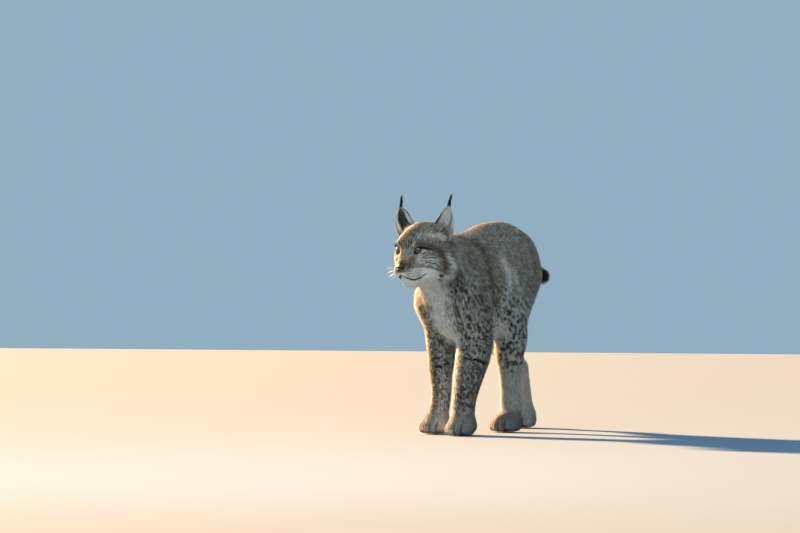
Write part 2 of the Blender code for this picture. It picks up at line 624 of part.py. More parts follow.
def main():
    body_ob = merged_body(VOXEL, ALL)
    thin = body_ob.modifiers.new("thin", "DECIMATE")
    thin.ratio = BODY_TRIANGLES / (2 * len(body_ob.data.polygons))
    apply_modifiers(body_ob)
    set_points(body_ob.data, settle(points_of(body_ob.data), body, 2))
    flatten_paws(body_ob)

    # a copy of the body, a hair larger, for trimming the ears' roots
    shell = make_object("ear_trim", body_ob.data.copy())
    normals = np.empty(len(shell.data.vertices) * 3, np.float32)
    shell.data.vertices.foreach_get("normal", normals)
    set_points(shell.data, points_of(shell.data) + GAP * normals.reshape(-1, 3))

    NECK = v3(0, -0.235, 0.500)
    KNEES = {"foreleg_left": (v3(0.0665, -0.192, 0.236), (0, 0.30, 1)), "foreleg_right": (v3(-0.074, -0.137, 0.2375), (0, 0.14, 1)),
             "hindleg_left": (v3(0.064, 0.066, 0.262), (0, -0.12, 1)), "hindleg_right": (v3(-0.057, 0.248, 0.268), (0, -0.75, 0.65))}
    ANKLES = {"forepaw_left": (v3(FORE_TRACK, -0.255, 0.088), (0, 0.30, 1)), "forepaw_right": (v3(-FORE_TRACK, -0.172, 0.088), (0, 0.18, 1)),
              "hindfoot_left": (v3(0.054, 0.080, 0.148), (0, 0, 1)), "hindfoot_right": (v3(-0.050, 0.366, 0.165), (0, -0.35, 1)),
              "hindpaw_left": (v3(0.056, 0.062, 0.060), (0, 0, 1)), "hindpaw_right": (v3(-0.056, 0.404, 0.060), (0, 0, 1))}
    cuts = [slab("part_head", head_point(-0.125, 0, -0.01), v3(0.19, 0.96, -0.25), HEAD_L, 0.30, 0.34),
            slab("part_neck", NECK, (0, 0.93, -0.37), (1, 0, 0), 0.32, 0.44),
            slab("part_tail", (0.007, 0.312, 0.494), (0, 1, -0.6), (1, 0, 0), 0.07, 0.075)]
    for name, (c, n) in {**KNEES, **ANKLES}.items():
        cuts.append(slab("part_" + name, c, n, (1, 0, 0), 0.118 if c[2] < 0.2 else 0.130 if name == "foreleg_left" else 0.124, 0.22 if name == "hindleg_right" else 0.16))
    for tool in cuts:
        subtract(body_ob, tool)

    # each separate piece takes the name of the landmark nearest to its middle
    PLACES = {"head": head_point(-0.05, 0, -0.02), "neck": v3(0, -0.29, 0.47), "trunk": v3(0, 0.02, 0.44),
              "tail": v3(0.006, 0.34, 0.485),
              "foreleg_left": v3(0.070, -0.22, 0.17), "foreleg_right": v3(-0.070, -0.15, 0.17),
              "forepaw_left": v3(FORE_TRACK, -0.268, 0.04), "forepaw_right": v3(-FORE_TRACK, -0.184, 0.04),
              "hindleg_left": v3(0.060, 0.075, 0.22), "hindleg_right": v3(-0.056, 0.30, 0.23),
              "hindfoot_left": v3(0.055, 0.075, 0.10), "hindfoot_right": v3(-0.053, 0.39, 0.11),
              "hindpaw_left": v3(0.056, 0.05, 0.03), "hindpaw_right": v3(-0.056, 0.39, 0.03)}
    pieces = {}
    for bm in islands(body_ob):
        middle = np.mean([v.co[:] for v in bm.verts], axis=0)
        name = min(PLACES, key=lambda k: np.linalg.norm(PLACES[k] - middle))
        pieces[name] = make_object(name, bm)
    bpy.data.objects.remove(body_ob)

    head = pieces["head"]
    for s, side in ((LEFT, "left"), (RIGHT, "right")):
        c = head_point(-EYE_BACK, s * EYE_SIDE, 0)
        subtract(head, ball("socket", c, [EYE_RADIUS + GAP] * 3, AMBER, 0.2))
        pieces["eye_" + side] = ball("eye_" + side, c, [EYE_RADIUS] * 3, AMBER, 0.1)
        ear = make_object("ear_" + side, ear_mesh(s))
        subtract(ear, shell, remove=False)
        kept = max(islands(ear), key=lambda q: len(q.verts))
        bpy.data.objects.remove(ear)
        pieces["ear_" + side] = make_object("ear_" + side, kept)
    bpy.data.objects.remove(shell)
    pad, pad_size = head_point(0.0375, 0, -0.0425), v3(0.0085, 0.0145, 0.0105)
    subtract(head, ball("pad", pad, pad_size + GAP, NOSE_RED, 0.5))
    pieces["nose"] = ball("nose", pad, pad_size, NOSE_RED, 0.5)

    COLOURS = {"trunk": GREY, "neck": GREY, "head": GREY, "tail": BLACK, "ear": BLACK, "foreleg": GREY,
               "forepaw": PALE, "hindleg": GREY, "hindfoot": BROWN, "hindpaw": PALE}
    for name, ob in pieces.items():
        ob.name = name
        if name.split("_")[0] in COLOURS:
            paint(ob, COLOURS[name.split("_")[0]], 0.9)
        ob.data.transform(Matrix.Translation(SHIFT))
        ob.data.update()


if __name__ == "__main__":
    main()
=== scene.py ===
"""Looks of the Eurasian lynx: skin, coat, eyes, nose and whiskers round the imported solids.

The solids give the animal's outline to the tips of the coat.  The same body
function that shaped them is drawn here a coat's depth further in, as one skin,
with lids, lips and ears worked into it.  Tufts of hair root in that skin, follow
the lie of the coat and end at the solids' outline.
"""
import math

import bmesh
import bpy
import numpy as np
from mathutils import Matrix, Vector, kdtree


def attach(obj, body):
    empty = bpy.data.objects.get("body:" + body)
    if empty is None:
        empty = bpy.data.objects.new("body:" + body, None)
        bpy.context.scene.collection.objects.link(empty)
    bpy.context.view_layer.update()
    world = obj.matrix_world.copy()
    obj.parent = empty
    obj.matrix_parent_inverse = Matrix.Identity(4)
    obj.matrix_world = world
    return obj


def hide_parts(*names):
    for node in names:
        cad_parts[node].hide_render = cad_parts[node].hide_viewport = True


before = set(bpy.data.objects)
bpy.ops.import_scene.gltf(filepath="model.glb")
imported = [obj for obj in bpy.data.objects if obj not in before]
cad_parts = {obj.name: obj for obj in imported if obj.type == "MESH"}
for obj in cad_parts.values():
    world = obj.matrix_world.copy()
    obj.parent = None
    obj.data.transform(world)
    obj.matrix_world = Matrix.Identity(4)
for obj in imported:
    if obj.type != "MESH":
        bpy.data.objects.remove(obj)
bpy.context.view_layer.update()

collection = bpy.context.scene.collection

# ---------------------------------------------------------------- main sizes
WITHERS_Z = 0.590
RUMP_Z = 0.632
FORE_TRACK = 0.062
HIND_TRACK = 0.056
PAW_LENGTH = 0.112
PAW_WIDTH = 0.094
HEAD_YAW = -12.0
HEAD_PITCH = 10.0
EYE_MID = (-0.0316, -0.435, 0.538)
EYE_RADIUS = 0.0135
SHIFT = np.array((0.00015, 0.01648, 0.0))     # from the animal's own axes to the frame's origin
LEFT, RIGHT = 1.0, -1.0


def v3(*xyz):
    return np.array(xyz, float)


def unit(a):
    a = np.asarray(a, float)
    return a / np.linalg.norm(a)


def units(a):
    return a / np.maximum(np.linalg.norm(a, axis=-1, keepdims=True), 1e-9)


def rise(x, a, b):
    """0 at a, 1 at b and beyond, smoothly."""
    t = np.clip((x - a) / (b - a), 0, 1)
    return t * t * (3 - 2 * t)


def hump(x, a, b, c, d):
    """0 outside a to d, 1 from b to c."""
    return rise(x, a, b) * (1 - rise(x, c, d))


def noise(p, size, seed=0.0):
    """Smooth value noise between -1 and 1, with features of the given size."""
    q = p / size + seed * 17.137
    i = np.floor(q).astype(np.int64)
    t = q - i
    t = t * t * (3 - 2 * t)
    out = np.zeros(len(p))
    for a in (0, 1):
        for b in (0, 1):
            for c in (0, 1):
                n = (i[:, 0] + a) * 374761393 + (i[:, 1] + b) * 668265263 + (i[:, 2] + c) * 1274126177
                n = (n ^ (n >> 13)) * 1103515245 & 0x7FFFFFFF
                n = (n ^ (n >> 11)) & 0xFFFF
                w = ((t[:, 0] if a else 1 - t[:, 0]) * (t[:, 1] if b else 1 - t[:, 1]) * (t[:, 2] if c else 1 - t[:, 2]))
                out += w * n
    return out / 32767.5 - 1


# ------------------------------------------------------------- body function
def smin(a, b, k):
    h = np.maximum(k - np.abs(a - b), 0.0) / k
    return np.minimum(a, b) - h * h * k * 0.25


def smax(a, b, k):
    return -smin(-a, -b, k)


class Limb:
    """A tapered length of limb with oval ends: radii are (sideways, fore-and-aft)."""

    def __init__(self, a, b, ra, rb, side=(1, 0, 0), k=0.03):
        self.a, self.b = np.asarray(a, float), np.asarray(b, float)
        self.ra = np.array(ra if np.ndim(ra) else (ra, ra), float)
        self.rb = np.array(rb if np.ndim(rb) else (rb, rb), float)
        self.k = k
        self.len = np.linalg.norm(self.b - self.a)
        self.e = (self.b - self.a) / self.len
        s = np.asarray(side, float)
        self.s = unit(s - (s @ self.e) * self.e)
        self.f = np.cross(self.e, self.s)
        self.mid = (self.a + self.b) / 2
        self.reach = self.len / 2 + max(self.ra.max(), self.rb.max())

    def far(self, p):
        r = p - self.a
        w = r @ self.e
        t = np.clip(w / self.len, 0, 1)
        along = w - t * self.len
        u, v = r @ self.s, r @ self.f
        rs = self.ra[0] + (self.rb[0] - self.ra[0]) * t
        rf = self.ra[1] + (self.rb[1] - self.ra[1]) * t
        rm = (rs + rf) / 2
        q = np.sqrt((u / rs) ** 2 + (v / rf) ** 2 + (along / rm) ** 2) + 1e-9
        n = np.sqrt(u * u + v * v + along * along)
        return n - n / q

    def rough(self, bm):
        around, rings = 16, []
        for i in range(1, 12):
            phi = math.pi * (i / 12 - 0.5)
            c, r = (self.a, self.ra) if phi < 0 else (self.b, self.rb)
            c = c + self.e * math.sin(phi) * (r[0] + r[1]) / 2
            rings.append([bm.verts.new(c + math.cos(phi) * (self.s * r[0] * math.cos(t) + self.f * r[1] * math.sin(t)))
                          for t in (2 * math.pi * j / around for j in range(around))])
        first = bm.verts.new(self.a - self.e * (self.ra[0] + self.ra[1]) / 2)
        last = bm.verts.new(self.b + self.e * (self.rb[0] + self.rb[1]) / 2)
        for j in range(around):
            n = (j + 1) % around
            bm.faces.new((first, rings[0][n], rings[0][j]))
            bm.faces.new((last, rings[-1][j], rings[-1][n]))
            for one, two in zip(rings, rings[1:]):
                bm.faces.new((one[j], one[n], two[n], two[j]))


class Chain:
    """A limb swept smoothly through stations of (point, sideways radius, fore-and-aft radius)."""

    def __init__(self, stations, side=(1, 0, 0), k=0.03, steps=3):
        t = np.arange(len(stations), dtype=float)
        fine = np.linspace(0, t[-1], (len(stations) - 1) * steps + 1)
        rows = np.array([[*c, r, f] for c, r, f in stations])
        rows = np.stack([curve(list(zip(t, rows[:, i])), fine) for i in range(5)], axis=1)
        self.parts = [Limb(a[:3], b[:3], a[3:], b[3:], side) for a, b in zip(rows, rows[1:])]
        self.k = k
        self.mid = (rows[:, :3].min(0) + rows[:, :3].max(0)) / 2
        self.reach = max(np.linalg.norm(q.mid - self.mid) + q.reach for q in self.parts)

    def far(self, p):
        return np.minimum.reduce([q.far(p) for q in self.parts])

    def rough(self, bm):
        for q in self.parts:
            q.rough(bm)


class Oval:
    """An ellipsoid: centre, three radii, and the directions of the first two."""

    def __init__(self, c, r, x=(1, 0, 0), y=(0, 1, 0), k=0.03):
        self.c, self.r = np.asarray(c, float), np.asarray(r, float)
        self.x = unit(x)
        y = np.asarray(y, float)
        self.y = unit(y - (y @ self.x) * self.x)
        self.z = np.cross(self.x, self.y)
        self.k = k
        self.mid, self.reach = self.c, self.r.max()

    def far(self, p):
        r = p - self.c
        u, v, w = r @ self.x, r @ self.y, r @ self.z
        q = np.sqrt((u / self.r[0]) ** 2 + (v / self.r[1]) ** 2 + (w / self.r[2]) ** 2) + 1e-9
        n = np.sqrt(u * u + v * v + w * w)
        return n - n / q

    def rough(self, bm):
        m = Matrix.Identity(4)
        for i in range(3):
            m[i][0], m[i][1], m[i][2] = self.x[i], self.y[i], self.z[i]
            m[i][3] = self.c[i]
        bmesh.ops.create_icosphere(bm, subdivisions=3, radius=1.0, matrix=m @ Matrix.Diagonal((*self.r, 1)))


def curve(stations, y):
    """Smooth (Catmull-Rom) interpolation of a table of (y, value) stations."""
    t = np.array([s[0] for s in stations], float)
    v = np.array([s[1] for s in stations], float)
    m = np.gradient(v, t)
    y = np.clip(y, t[0], t[-1])
    i = np.clip(np.searchsorted(t, y) - 1, 0, len(t) - 2)
    h = t[i + 1] - t[i]
    s = (y - t[i]) / h
    return ((2 * s**3 - 3 * s**2 + 1) * v[i] + (s**3 - 2 * s**2 + s) * h * m[i]
            + (-2 * s**3 + 3 * s**2) * v[i + 1] + (s**3 - s**2) * h * m[i + 1])


class Barrel:
    """The trunk: back line, belly line, half width and height of the widest point, along Y."""

    TOP = ((-0.275, 0.500), (-0.20, 0.560), (-0.12, WITHERS_Z), (-0.05, 0.611), (0.02, 0.626),
           (0.085, RUMP_Z), (0.135, 0.631), (0.18, 0.619), (0.225, 0.592), (0.26, 0.554), (0.285, 0.50))
    BELLY = ((-0.275, 0.400), (-0.24, 0.330), (-0.19, 0.285), (-0.13, 0.266), (-0.05, 0.268),
             (0.04, 0.290), (0.12, 0.326), (0.19, 0.370), (0.24, 0.410), (0.265, 0.440), (0.285, 0.475))
    HALF = ((-0.275, 0.035), (-0.24, 0.066), (-0.19, 0.086), (-0.12, 0.096), (-0.03, 0.101),
            (0.06, 0.097), (0.12, 0.086), (0.17, 0.074), (0.22, 0.061), (0.26, 0.045), (0.285, 0.021))
    WIDEST = ((-0.275, 0.44), (-0.19, 0.405), (-0.10, 0.395), (0.0, 0.41), (0.10, 0.45),
              (0.20, 0.48), (0.285, 0.49))

    k = 0.03

    def __init__(self):
        self.y0, self.y1 = self.HALF[0][0], self.HALF[-1][0]
        self.mid = v3(0, (self.y0 + self.y1) / 2, 0.45)
        self.reach = 0.36

    def far(self, p):
        y = np.clip(p[:, 1], self.y0, self.y1)
        over = np.abs(p[:, 1] - y)
        top, low = curve(self.TOP, y), curve(self.BELLY, y)
        half, zc = curve(self.HALF, y), curve(self.WIDEST, y)
        dz = p[:, 2] - zc
        high = np.where(dz > 0, top - zc, zc - low)
        n = np.where(dz > 0, 2.15, 2.1)
        x = np.abs(p[:, 0])
        q = ((x / half) ** n + (np.abs(dz) / high) ** n) ** (1 / n) + 1e-9
        r = np.sqrt(x * x + dz * dz)
        d = r - r / q
        return np.where(over > 0, np.sqrt(np.maximum(d, 0) ** 2 + over**2) + np.minimum(d, 0), d)

    def rough(self, bm):
        rings, around = [], 28
        for i in range(27):
            y = self.y0 + (self.y1 - self.y0) * i / 26
            ya = np.array([y])
            top, low = curve(self.TOP, ya)[0], curve(self.BELLY, ya)[0]
            half, zc = curve(self.HALF, ya)[0], curve(self.WIDEST, ya)[0]
            ring = []
            for j in range(around):
                a = 2 * math.pi * j / around
                high = top - zc if math.sin(a) > 0 else zc - low
                ring.append(bm.verts.new((half * math.cos(a), y, zc + high * math.sin(a))))
            rings.append(ring)
        for one, two in zip(rings, rings[1:]):
            for j in range(around):
                n = (j + 1) % around
                bm.faces.new((one[j], two[j], two[n], one[n]))
        bm.faces.new(rings[0])
        bm.faces.new(rings[-1][::-1])


# ---------------------------------------------------------------- the head
YAW, PITCH = math.radians(HEAD_YAW), math.radians(HEAD_PITCH)
HEAD_F = v3(math.sin(YAW) * math.cos(PITCH), -math.cos(YAW) * math.cos(PITCH), -math.sin(PITCH))
HEAD_L = unit(np.cross((0, 0, 1), HEAD_F))
HEAD_U = np.cross(HEAD_F, HEAD_L)
EYE_SIDE, EYE_BACK = 0.0345, 0.0125


def head_point(f, l, u):
    """A point of the head: forward, to its left and up from midway between the eyes."""
    return v3(*EYE_MID) + f * HEAD_F + l * HEAD_L + u * HEAD_U


def head_frame(p):
    """Forward, left and up coordinates of points, from midway between the eyes."""
    q = p - v3(*EYE_MID)
    return q @ HEAD_F, q @ HEAD_L, q @ HEAD_U


def from_head(q):
    """Directions given forward, left and up, turned into the animal's axes."""
    return q[:, :1] * HEAD_F + q[:, 1:2] * HEAD_L + q[:, 2:3] * HEAD_U


def head_oval(f, l, u, rf, rl, ru, tilt=0.0, turn=0.0, k=0.02):
    a, b = math.radians(tilt), math.radians(turn)
    x = HEAD_F * math.cos(a) * math.cos(b) + HEAD_L * math.sin(b) * math.cos(a) + HEAD_U * math.sin(a)
    y = HEAD_L * math.cos(b) - HEAD_F * math.sin(b)
    return Oval(head_point(f, l, u), (rf, rl, ru), x, y, k)


def head_masses():
    out = [
        head_oval(-0.085, 0, 0.012, 0.072, 0.062, 0.060, tilt=12, k=0.03),      # brain case
        head_oval(-0.035, 0, 0.012, 0.046, 0.046, 0.036, tilt=35, k=0.025),     # forehead
        head_oval(0.000, 0, -0.020, 0.042, 0.0190, 0.020, tilt=-45, k=0.028),   # bridge of the nose
        head_oval(0.029, 0, -0.044, 0.012, 0.0165, 0.014, k=0.014),             # tip of the nose
        head_oval(0.001, 0, -0.052, 0.031, 0.034, 0.026, tilt=-6, k=0.030),     # muzzle
        head_oval(-0.004, 0, -0.083, 0.026, 0.023, 0.018, tilt=-14, k=0.018),   # chin
        head_oval(-0.040, 0, -0.075, 0.050, 0.044, 0.033, tilt=-18, k=0.03),    # lower jaws and throat
        head_oval(-0.115, 0, -0.045, 0.070, 0.062, 0.066, k=0.04),              # nape and gullet
    ]
    for s in (LEFT, RIGHT):
        out += [
            head_oval(-0.036, s * 0.038, -0.024, 0.044, 0.028, 0.032, turn=s * -16, k=0.035),  # cheek bone
            head_oval(-0.016, s * 0.034, 0.013, 0.019, 0.019, 0.011, tilt=20, turn=s * -30, k=0.014),  # brow
            head_oval(0.012, s * 0.0170, -0.059, 0.023, 0.0180, 0.0165, turn=s * -14, k=0.020),   # whisker pad
            head_oval(-0.066, s * 0.052, -0.052, 0.038, 0.034, 0.046, tilt=25, turn=s * -25, k=0.03),  # cheek ruff
            head_oval(-0.080, s * 0.062, -0.070, 0.026, 0.024, 0.040, tilt=20, turn=s * -30, k=0.025),  # ruff's tip
            head_oval(-0.090, s * 0.053, 0.036, 0.025, 0.026, 0.026, k=0.025),      # root of the ear
        ]
    return out


# ---------------------------------------------------------------- the limbs
def fore_leg(s, paw_y, wrist, elbow, shoulder, blade, girth, tuck=0.0):
    """Masses of one fore leg.  s is its side; girth holds its half widths and half depths at the elbow, the
    forearm, half way down, the wrist and the ankle; tuck lifts the heel of the paw."""
    paw = v3(s * FORE_TRACK, paw_y, 0)
    arm = elbow * 0.72 + wrist * 0.28
    mid = elbow * 0.40 + wrist * 0.60
    out = [
        Limb(blade, shoulder, (0.028, 0.050), (0.038, 0.056), k=0.05),                 # shoulder blade
        Chain(((shoulder, 0.038, 0.058), (elbow + v3(0, -0.006, 0.02), *girth[0]),
               (arm + v3(-0.002 * s, 0.004, 0), *girth[1]), (mid, *girth[2]),
               (wrist, *girth[3]), (paw + v3(0, 0.008, 0.048), *girth[4])), k=0.045),
    ]
    return out + paw_masses(paw, s, 0.0, tuck)


def hind_leg(s, paw, turn, hock, knee, hip, girth):
    """Masses of one hind leg.  girth holds its half widths and half depths at the knee, the shank, the hock and
    half way down the foot."""
    heel = hock + v3(0, 0.014, 0.006)
    shank = hock * 0.5 + knee * 0.5
    out = [
        Oval(hip + v3(0, -0.005, -0.02), (0.046, 0.085, 0.095), k=0.05),                   # buttock
        Chain(((hip + v3(0, -0.01, -0.03), 0.042, 0.076), (hip * 0.45 + knee * 0.55, 0.043, 0.072),
               (knee + v3(0, 0.006, 0), *girth[0]), (shank, *girth[1]),
               (hock, *girth[2]), (hock * 0.45 + paw * 0.55 + v3(0, 0.018, 0), *girth[3]),
               (paw + v3(0, 0.024, 0.042), 0.033, 0.034)), k=0.045),
        Limb(hip + v3(0, 0.030, -0.05), shank + v3(0, 0.022, 0.03), (0.032, 0.046), (0.030, 0.032), k=0.04),
        Limb(heel, hock + v3(0, 0, -0.012), 0.019, 0.024, k=0.02),                          # heel
    ]
    return out + paw_masses(paw, s, turn, 0.0)


PAWS = {"left_fore": (v3(FORE_TRACK, -0.268, 0), 0.0), "right_fore": (v3(-FORE_TRACK, -0.184, 0), 0.0),
        "left_hind": (v3(HIND_TRACK, 0.046, 0), -6.0), "right_hind": (v3(-HIND_TRACK, 0.388, 0), 0.0)}
TOES = ((-0.030, 0.020, 0.0165), (-0.0105, 0.033, 0.0180), (0.0105, 0.033, 0.0180), (0.030, 0.020, 0.0165))


def paw_masses(paw, s, turn, tuck):
    """One broad furred paw: the body of the paw, four toes side by side and the heel pad."""
    t = math.radians(turn)
    fwd, side = v3(math.sin(t), -math.cos(t), 0), v3(math.cos(t), math.sin(t), 0)
    up = v3(0, 0, 1)
    w, n = PAW_WIDTH / 2, PAW_LENGTH / 2
    out = [
        Oval(paw + up * (0.032 + tuck * 0.5) + fwd * 0.002, (w * 0.80, n * 0.80, 0.031), side, fwd, k=0.02),
        Oval(paw - fwd * 0.018 + up * (0.018 + tuck), (w * 0.74, n * 0.52, 0.021), side, fwd, k=0.02),
    ]
    for across, ahead, r in TOES:
        out.append(Oval(paw + side * across * (w / 0.047) + fwd * (ahead - 0.004) + up * 0.0185,
                        (r, r * 1.35, r * 1.20), side, fwd, k=0.012))
    return out


def body_masses():
    neck_top = head_point(-0.115, 0, -0.020)
    left_fore = fore_leg(LEFT, -0.268, v3(0.062, -0.250, 0.112), v3(0.064, -0.166, 0.300),
                         v3(0.062, -0.215, 0.400), v3(0.036, -0.120, 0.530),
                         ((0.046, 0.058), (0.053, 0.056), (0.0470, 0.046), (0.0370, 0.037), (0.034, 0.036)), tuck=0.006)
    right_fore = fore_leg(RIGHT, -0.184, v3(-0.061, -0.156, 0.112), v3(-0.083, -0.120, 0.300),
                          v3(-0.066, -0.200, 0.395), v3(-0.036, -0.120, 0.530),
                          ((0.044, 0.056), (0.0425, 0.054), (0.0360, 0.043), (0.0295, 0.034), (0.0295, 0.034)))
    left_hind = hind_leg(LEFT, v3(HIND_TRACK, 0.046, 0), -6.0, v3(0.051, 0.080, 0.168),
                         v3(0.062, 0.052, 0.345), v3(0.046, 0.170, 0.515),
                         ((0.050, 0.062), (0.0470, 0.057), (0.0325, 0.0365), (0.0330, 0.034)))
    right_hind = hind_leg(RIGHT, v3(-HIND_TRACK, 0.388, 0), 0.0, v3(-0.050, 0.350, 0.184),
                          v3(-0.064, 0.165, 0.320), v3(-0.046, 0.185, 0.510),
                          ((0.041, 0.056), (0.0355, 0.047), (0.0285, 0.0345), (0.0295, 0.032)))
    trunk = [
        Barrel(),
        Oval((0, -0.225, 0.400), (0.078, 0.070, 0.105), k=0.05),
        Limb((0, -0.150, 0.470), neck_top, (0.074, 0.098), (0.062, 0.074), k=0.06),
        Limb((0, -0.20, 0.385), head_point(-0.075, 0, -0.075), (0.058, 0.060), (0.046, 0.048), k=0.05),
    ]
    tail = [
        Chain(((v3(0, 0.240, 0.560), 0.030, 0.030), (v3(0.002, 0.276, 0.524), 0.027, 0.027),
               (v3(0.007, 0.315, 0.491), 0.025, 0.025), (v3(0.018, 0.370, 0.469), 0.0265, 0.0265)), k=0.03),
    ]
    return {"trunk": trunk, "tail": tail, "head": head_masses(), "left_fore": left_fore,
            "right_fore": right_fore, "left_hind": left_hind, "right_hind": right_hind}


MASSES = body_masses()
ALL = [m for group in MASSES.values() for m in group]
ORBITS = [head_oval(0.0095, s * 0.0400, 0.0, 0.0150, 0.0200, 0.0165, turn=s * 22, k=0.012) for s in (LEFT, RIGHT)]


def body(p, masses=None):
    """Distance to the coat's outer surface, negative inside."""
    d = np.full(len(p), 1.0)
    for m in masses or ALL:
        near = np.nonzero(((p - m.mid) ** 2).sum(1) < (m.reach + 0.07) ** 2)[0]
        if len(near):
            d[near] = smin(d[near], m.far(p[near]), m.k)
    return d


# ------------------------------------------------------------- the skin
EYE_GAZE = unit((0.925, 0.36, 0.05))           # forward, outward, up
EYE_OUT = unit(v3(-0.36, 0.80, 0.50) - (v3(-0.36, 0.80, 0.50) @ EYE_GAZE) * EYE_GAZE)   # towards the outer corner
EYE_UP = np.cross(EYE_GAZE, EYE_OUT)
EYE_WIDE, LID_HIGH, LID_LOW = 0.0124, 0.0070, 0.0068
LIP = ((0.0, -0.0670), (0.008, -0.0700), (0.018, -0.0770), (0.026, -0.0800), (0.034, -0.0790), (0.041, -0.0765), (0.050, -0.0700))


def eye_frame(f, l, u):
    """Outward, up and forward coordinates before the nearer eye, and the distance from its middle."""
    q = np.stack((f + EYE_BACK, np.abs(l) - EYE_SIDE, u), axis=1)
    return q @ EYE_OUT, q @ EYE_UP, q @ EYE_GAZE, np.linalg.norm(q, axis=1)


def almond(x, y):
    """Distance from the edge of the open eye, negative within it."""
    t = np.clip(1 - (x / EYE_WIDE) ** 2, -3, 1)
    skew = 0.0012 * (x / EYE_WIDE)
    return np.maximum(y - skew - LID_HIGH * t, skew - LID_LOW * t - y) * (0.72 + 0.28 * np.clip(t, 0, 1))


def coat_depth(p):
    """How deep the coat is: from the skin to the outline."""
    x, y, z = p.T
    f, l, u = head_frame(p)
    s = np.abs(l)
    depth = 0.0028 + 0.0016 * rise(z, 0.07, 0.16) + 0.0036 * rise(z, 0.20, 0.42)
    depth += 0.005 * (1 - rise(z, 0.31, 0.37)) * rise(z, 0.23, 0.26) * (1 - rise(np.abs(x), 0.03, 0.07)) * hump(y, -0.20, -0.12, 0.12, 0.20)
    depth += 0.003 * hump(y, -0.34, -0.29, -0.22, -0.15) * rise(z, 0.3, 0.4)
    depth += 0.001 * rise(y, 0.27, 0.30) * rise(z, 0.40, 0.44)
    r = np.sqrt((f + 0.045) ** 2 + l**2 + (u + 0.015) ** 2)
    near = 1 - rise(r, 0.105, 0.150)
    face = 0.0017 + 0.0035 * rise(-f, 0.015, 0.085)
    face += 0.0105 * rise(-f, 0.030, 0.075) * rise(s, 0.036, 0.064) * (1 - rise(u, -0.035, 0.002))
    face += 0.0035 * (1 - rise(u, -0.100, -0.080)) * rise(-f, -0.01, 0.03)
    face += 0.0070 * np.exp(-(((f + 0.080) / 0.022) ** 2 + ((s - 0.060) / 0.018) ** 2 + ((u - 0.048) / 0.022) ** 2))
    return depth + (face - depth) * near


FACE_MID = head_point(0.0, 0, -0.030)


def skin_far(p):
    """Distance to the skin, negative inside: the body function a coat's depth in, with the face worked."""
    d = body(p) + coat_depth(p)
    d = smax(d, 0.0012 - p[:, 2], 0.005)
    near = np.nonzero(((p - FACE_MID) ** 2).sum(1) < 0.095**2)[0]
    if len(near):
        d[near] = face_far(p[near], d[near])
    for paw, turn in PAWS.values():
        near = np.nonzero(((p - paw) ** 2).sum(1) < 0.085**2)[0]
        if len(near):
            d[near] += toe_grooves(p[near] - paw, turn)
    return d


def toe_grooves(q, turn):
    """The folds between the toes."""
    t = math.radians(turn)
    across, ahead = q[:, 0] * math.cos(t) + q[:, 1] * math.sin(t), q[:, 0] * math.sin(t) - q[:, 1] * math.cos(t)
    fold = sum(np.exp(-(((across - c * (1 - 0.35 * rise(-ahead, -0.045, 0.0)) ) / 0.0022) ** 2)) for c in (-0.0205, 0.0, 0.0205))
    return 0.0040 * fold * rise(ahead, 0.004, 0.026) * (1 - rise(q[:, 2], 0.034, 0.048))


def face_far(p, d):
    f, l, u = head_frame(p)
    s = np.abs(l)
    for orbit in ORBITS:
        d = smax(d, -orbit.far(p), 0.012)
    x, y, w, r = eye_frame(f, l, u)
    # the lids' bulge over the eyeball, open wider than the almond: the lids' rims are lofted over its edge
    shell = r - (EYE_RADIUS + 0.0014)
    d = smin(d, shell, 0.0060)
    fold = np.abs(y - 0.0012 - (LID_HIGH + 0.0050) * np.clip(1 - (x / 0.0170) ** 2, 0, 1))
    d = d + 0.0010 * np.exp(-(fold / 0.0012) ** 2) * (w > 0) * rise(0.0170 - np.abs(x), 0, 0.004) * (y > 0) * (r < EYE_RADIUS + 0.008)
    opening = np.maximum.reduce([almond(x, y) - 0.0008, EYE_RADIUS - 0.0018 - r, 0.002 - w, r - EYE_RADIUS - 0.016])
    d = smax(d, -opening, 0.0030)
    # tear duct
    tear = np.sqrt(((x + 0.0136) / 1.6) ** 2 + (y + 0.0022) ** 2 + (np.clip(r - EYE_RADIUS - 0.001, 0, 1)) ** 2)
    d = d + 0.0016 * np.exp(-(tear / 0.0016) ** 2)
    # lips, the split of the upper lip and the edge of the whisker pad
    lip = curve(LIP, np.clip(s, 0, 0.05))
    mouth = (1 - rise(s, 0.036, 0.049)) * rise(f, -0.034, -0.014)
    d = d + 0.0024 * np.exp(-((u - lip) / 0.0016) ** 2) * mouth
    d = d - 0.0007 * np.exp(-((u - lip - 0.0038) / 0.0022) ** 2) * mouth
    split = np.exp(-(l / 0.0012) ** 2) * hump(u, -0.070, -0.066, -0.052, -0.048) * rise(f, 0.020, 0.030)
    d = d + 0.0018 * split
    # hollows of the cheek behind the pad, and under the eye beside the bridge
    d = d + 0.0012 * np.exp(-(((s - 0.046) / 0.008) ** 2 + ((u + 0.060) / 0.014) ** 2)) * rise(f, -0.03, -0.01)
    d = d + 0.0010 * np.exp(-(((s - 0.021) / 0.005) ** 2 + ((u + 0.020) / 0.012) ** 2)) * rise(f, 0.0, 0.015)
    return d


def slope(p, fn, h=0.0006):
    g = np.empty_like(p)
    for i in range(3):
        step = np.zeros(3)
        step[i] = h
        g[:, i] = (fn(p + step) - fn(p - step)) / (2 * h)
    return g


def settle(p, fn, rounds=6, most=0.012):
    """Draws points onto the surface where fn is zero."""
    for _ in range(rounds):
        d, g = fn(p), slope(p, fn)
        gg = np.maximum((g * g).sum(1), 0.05)
        step = g * (d / gg)[:, None]
        size = np.linalg.norm(step, axis=1)
        step *= np.minimum(1, most / np.maximum(size, 1e-9))[:, None]
        p = p - step
    return p


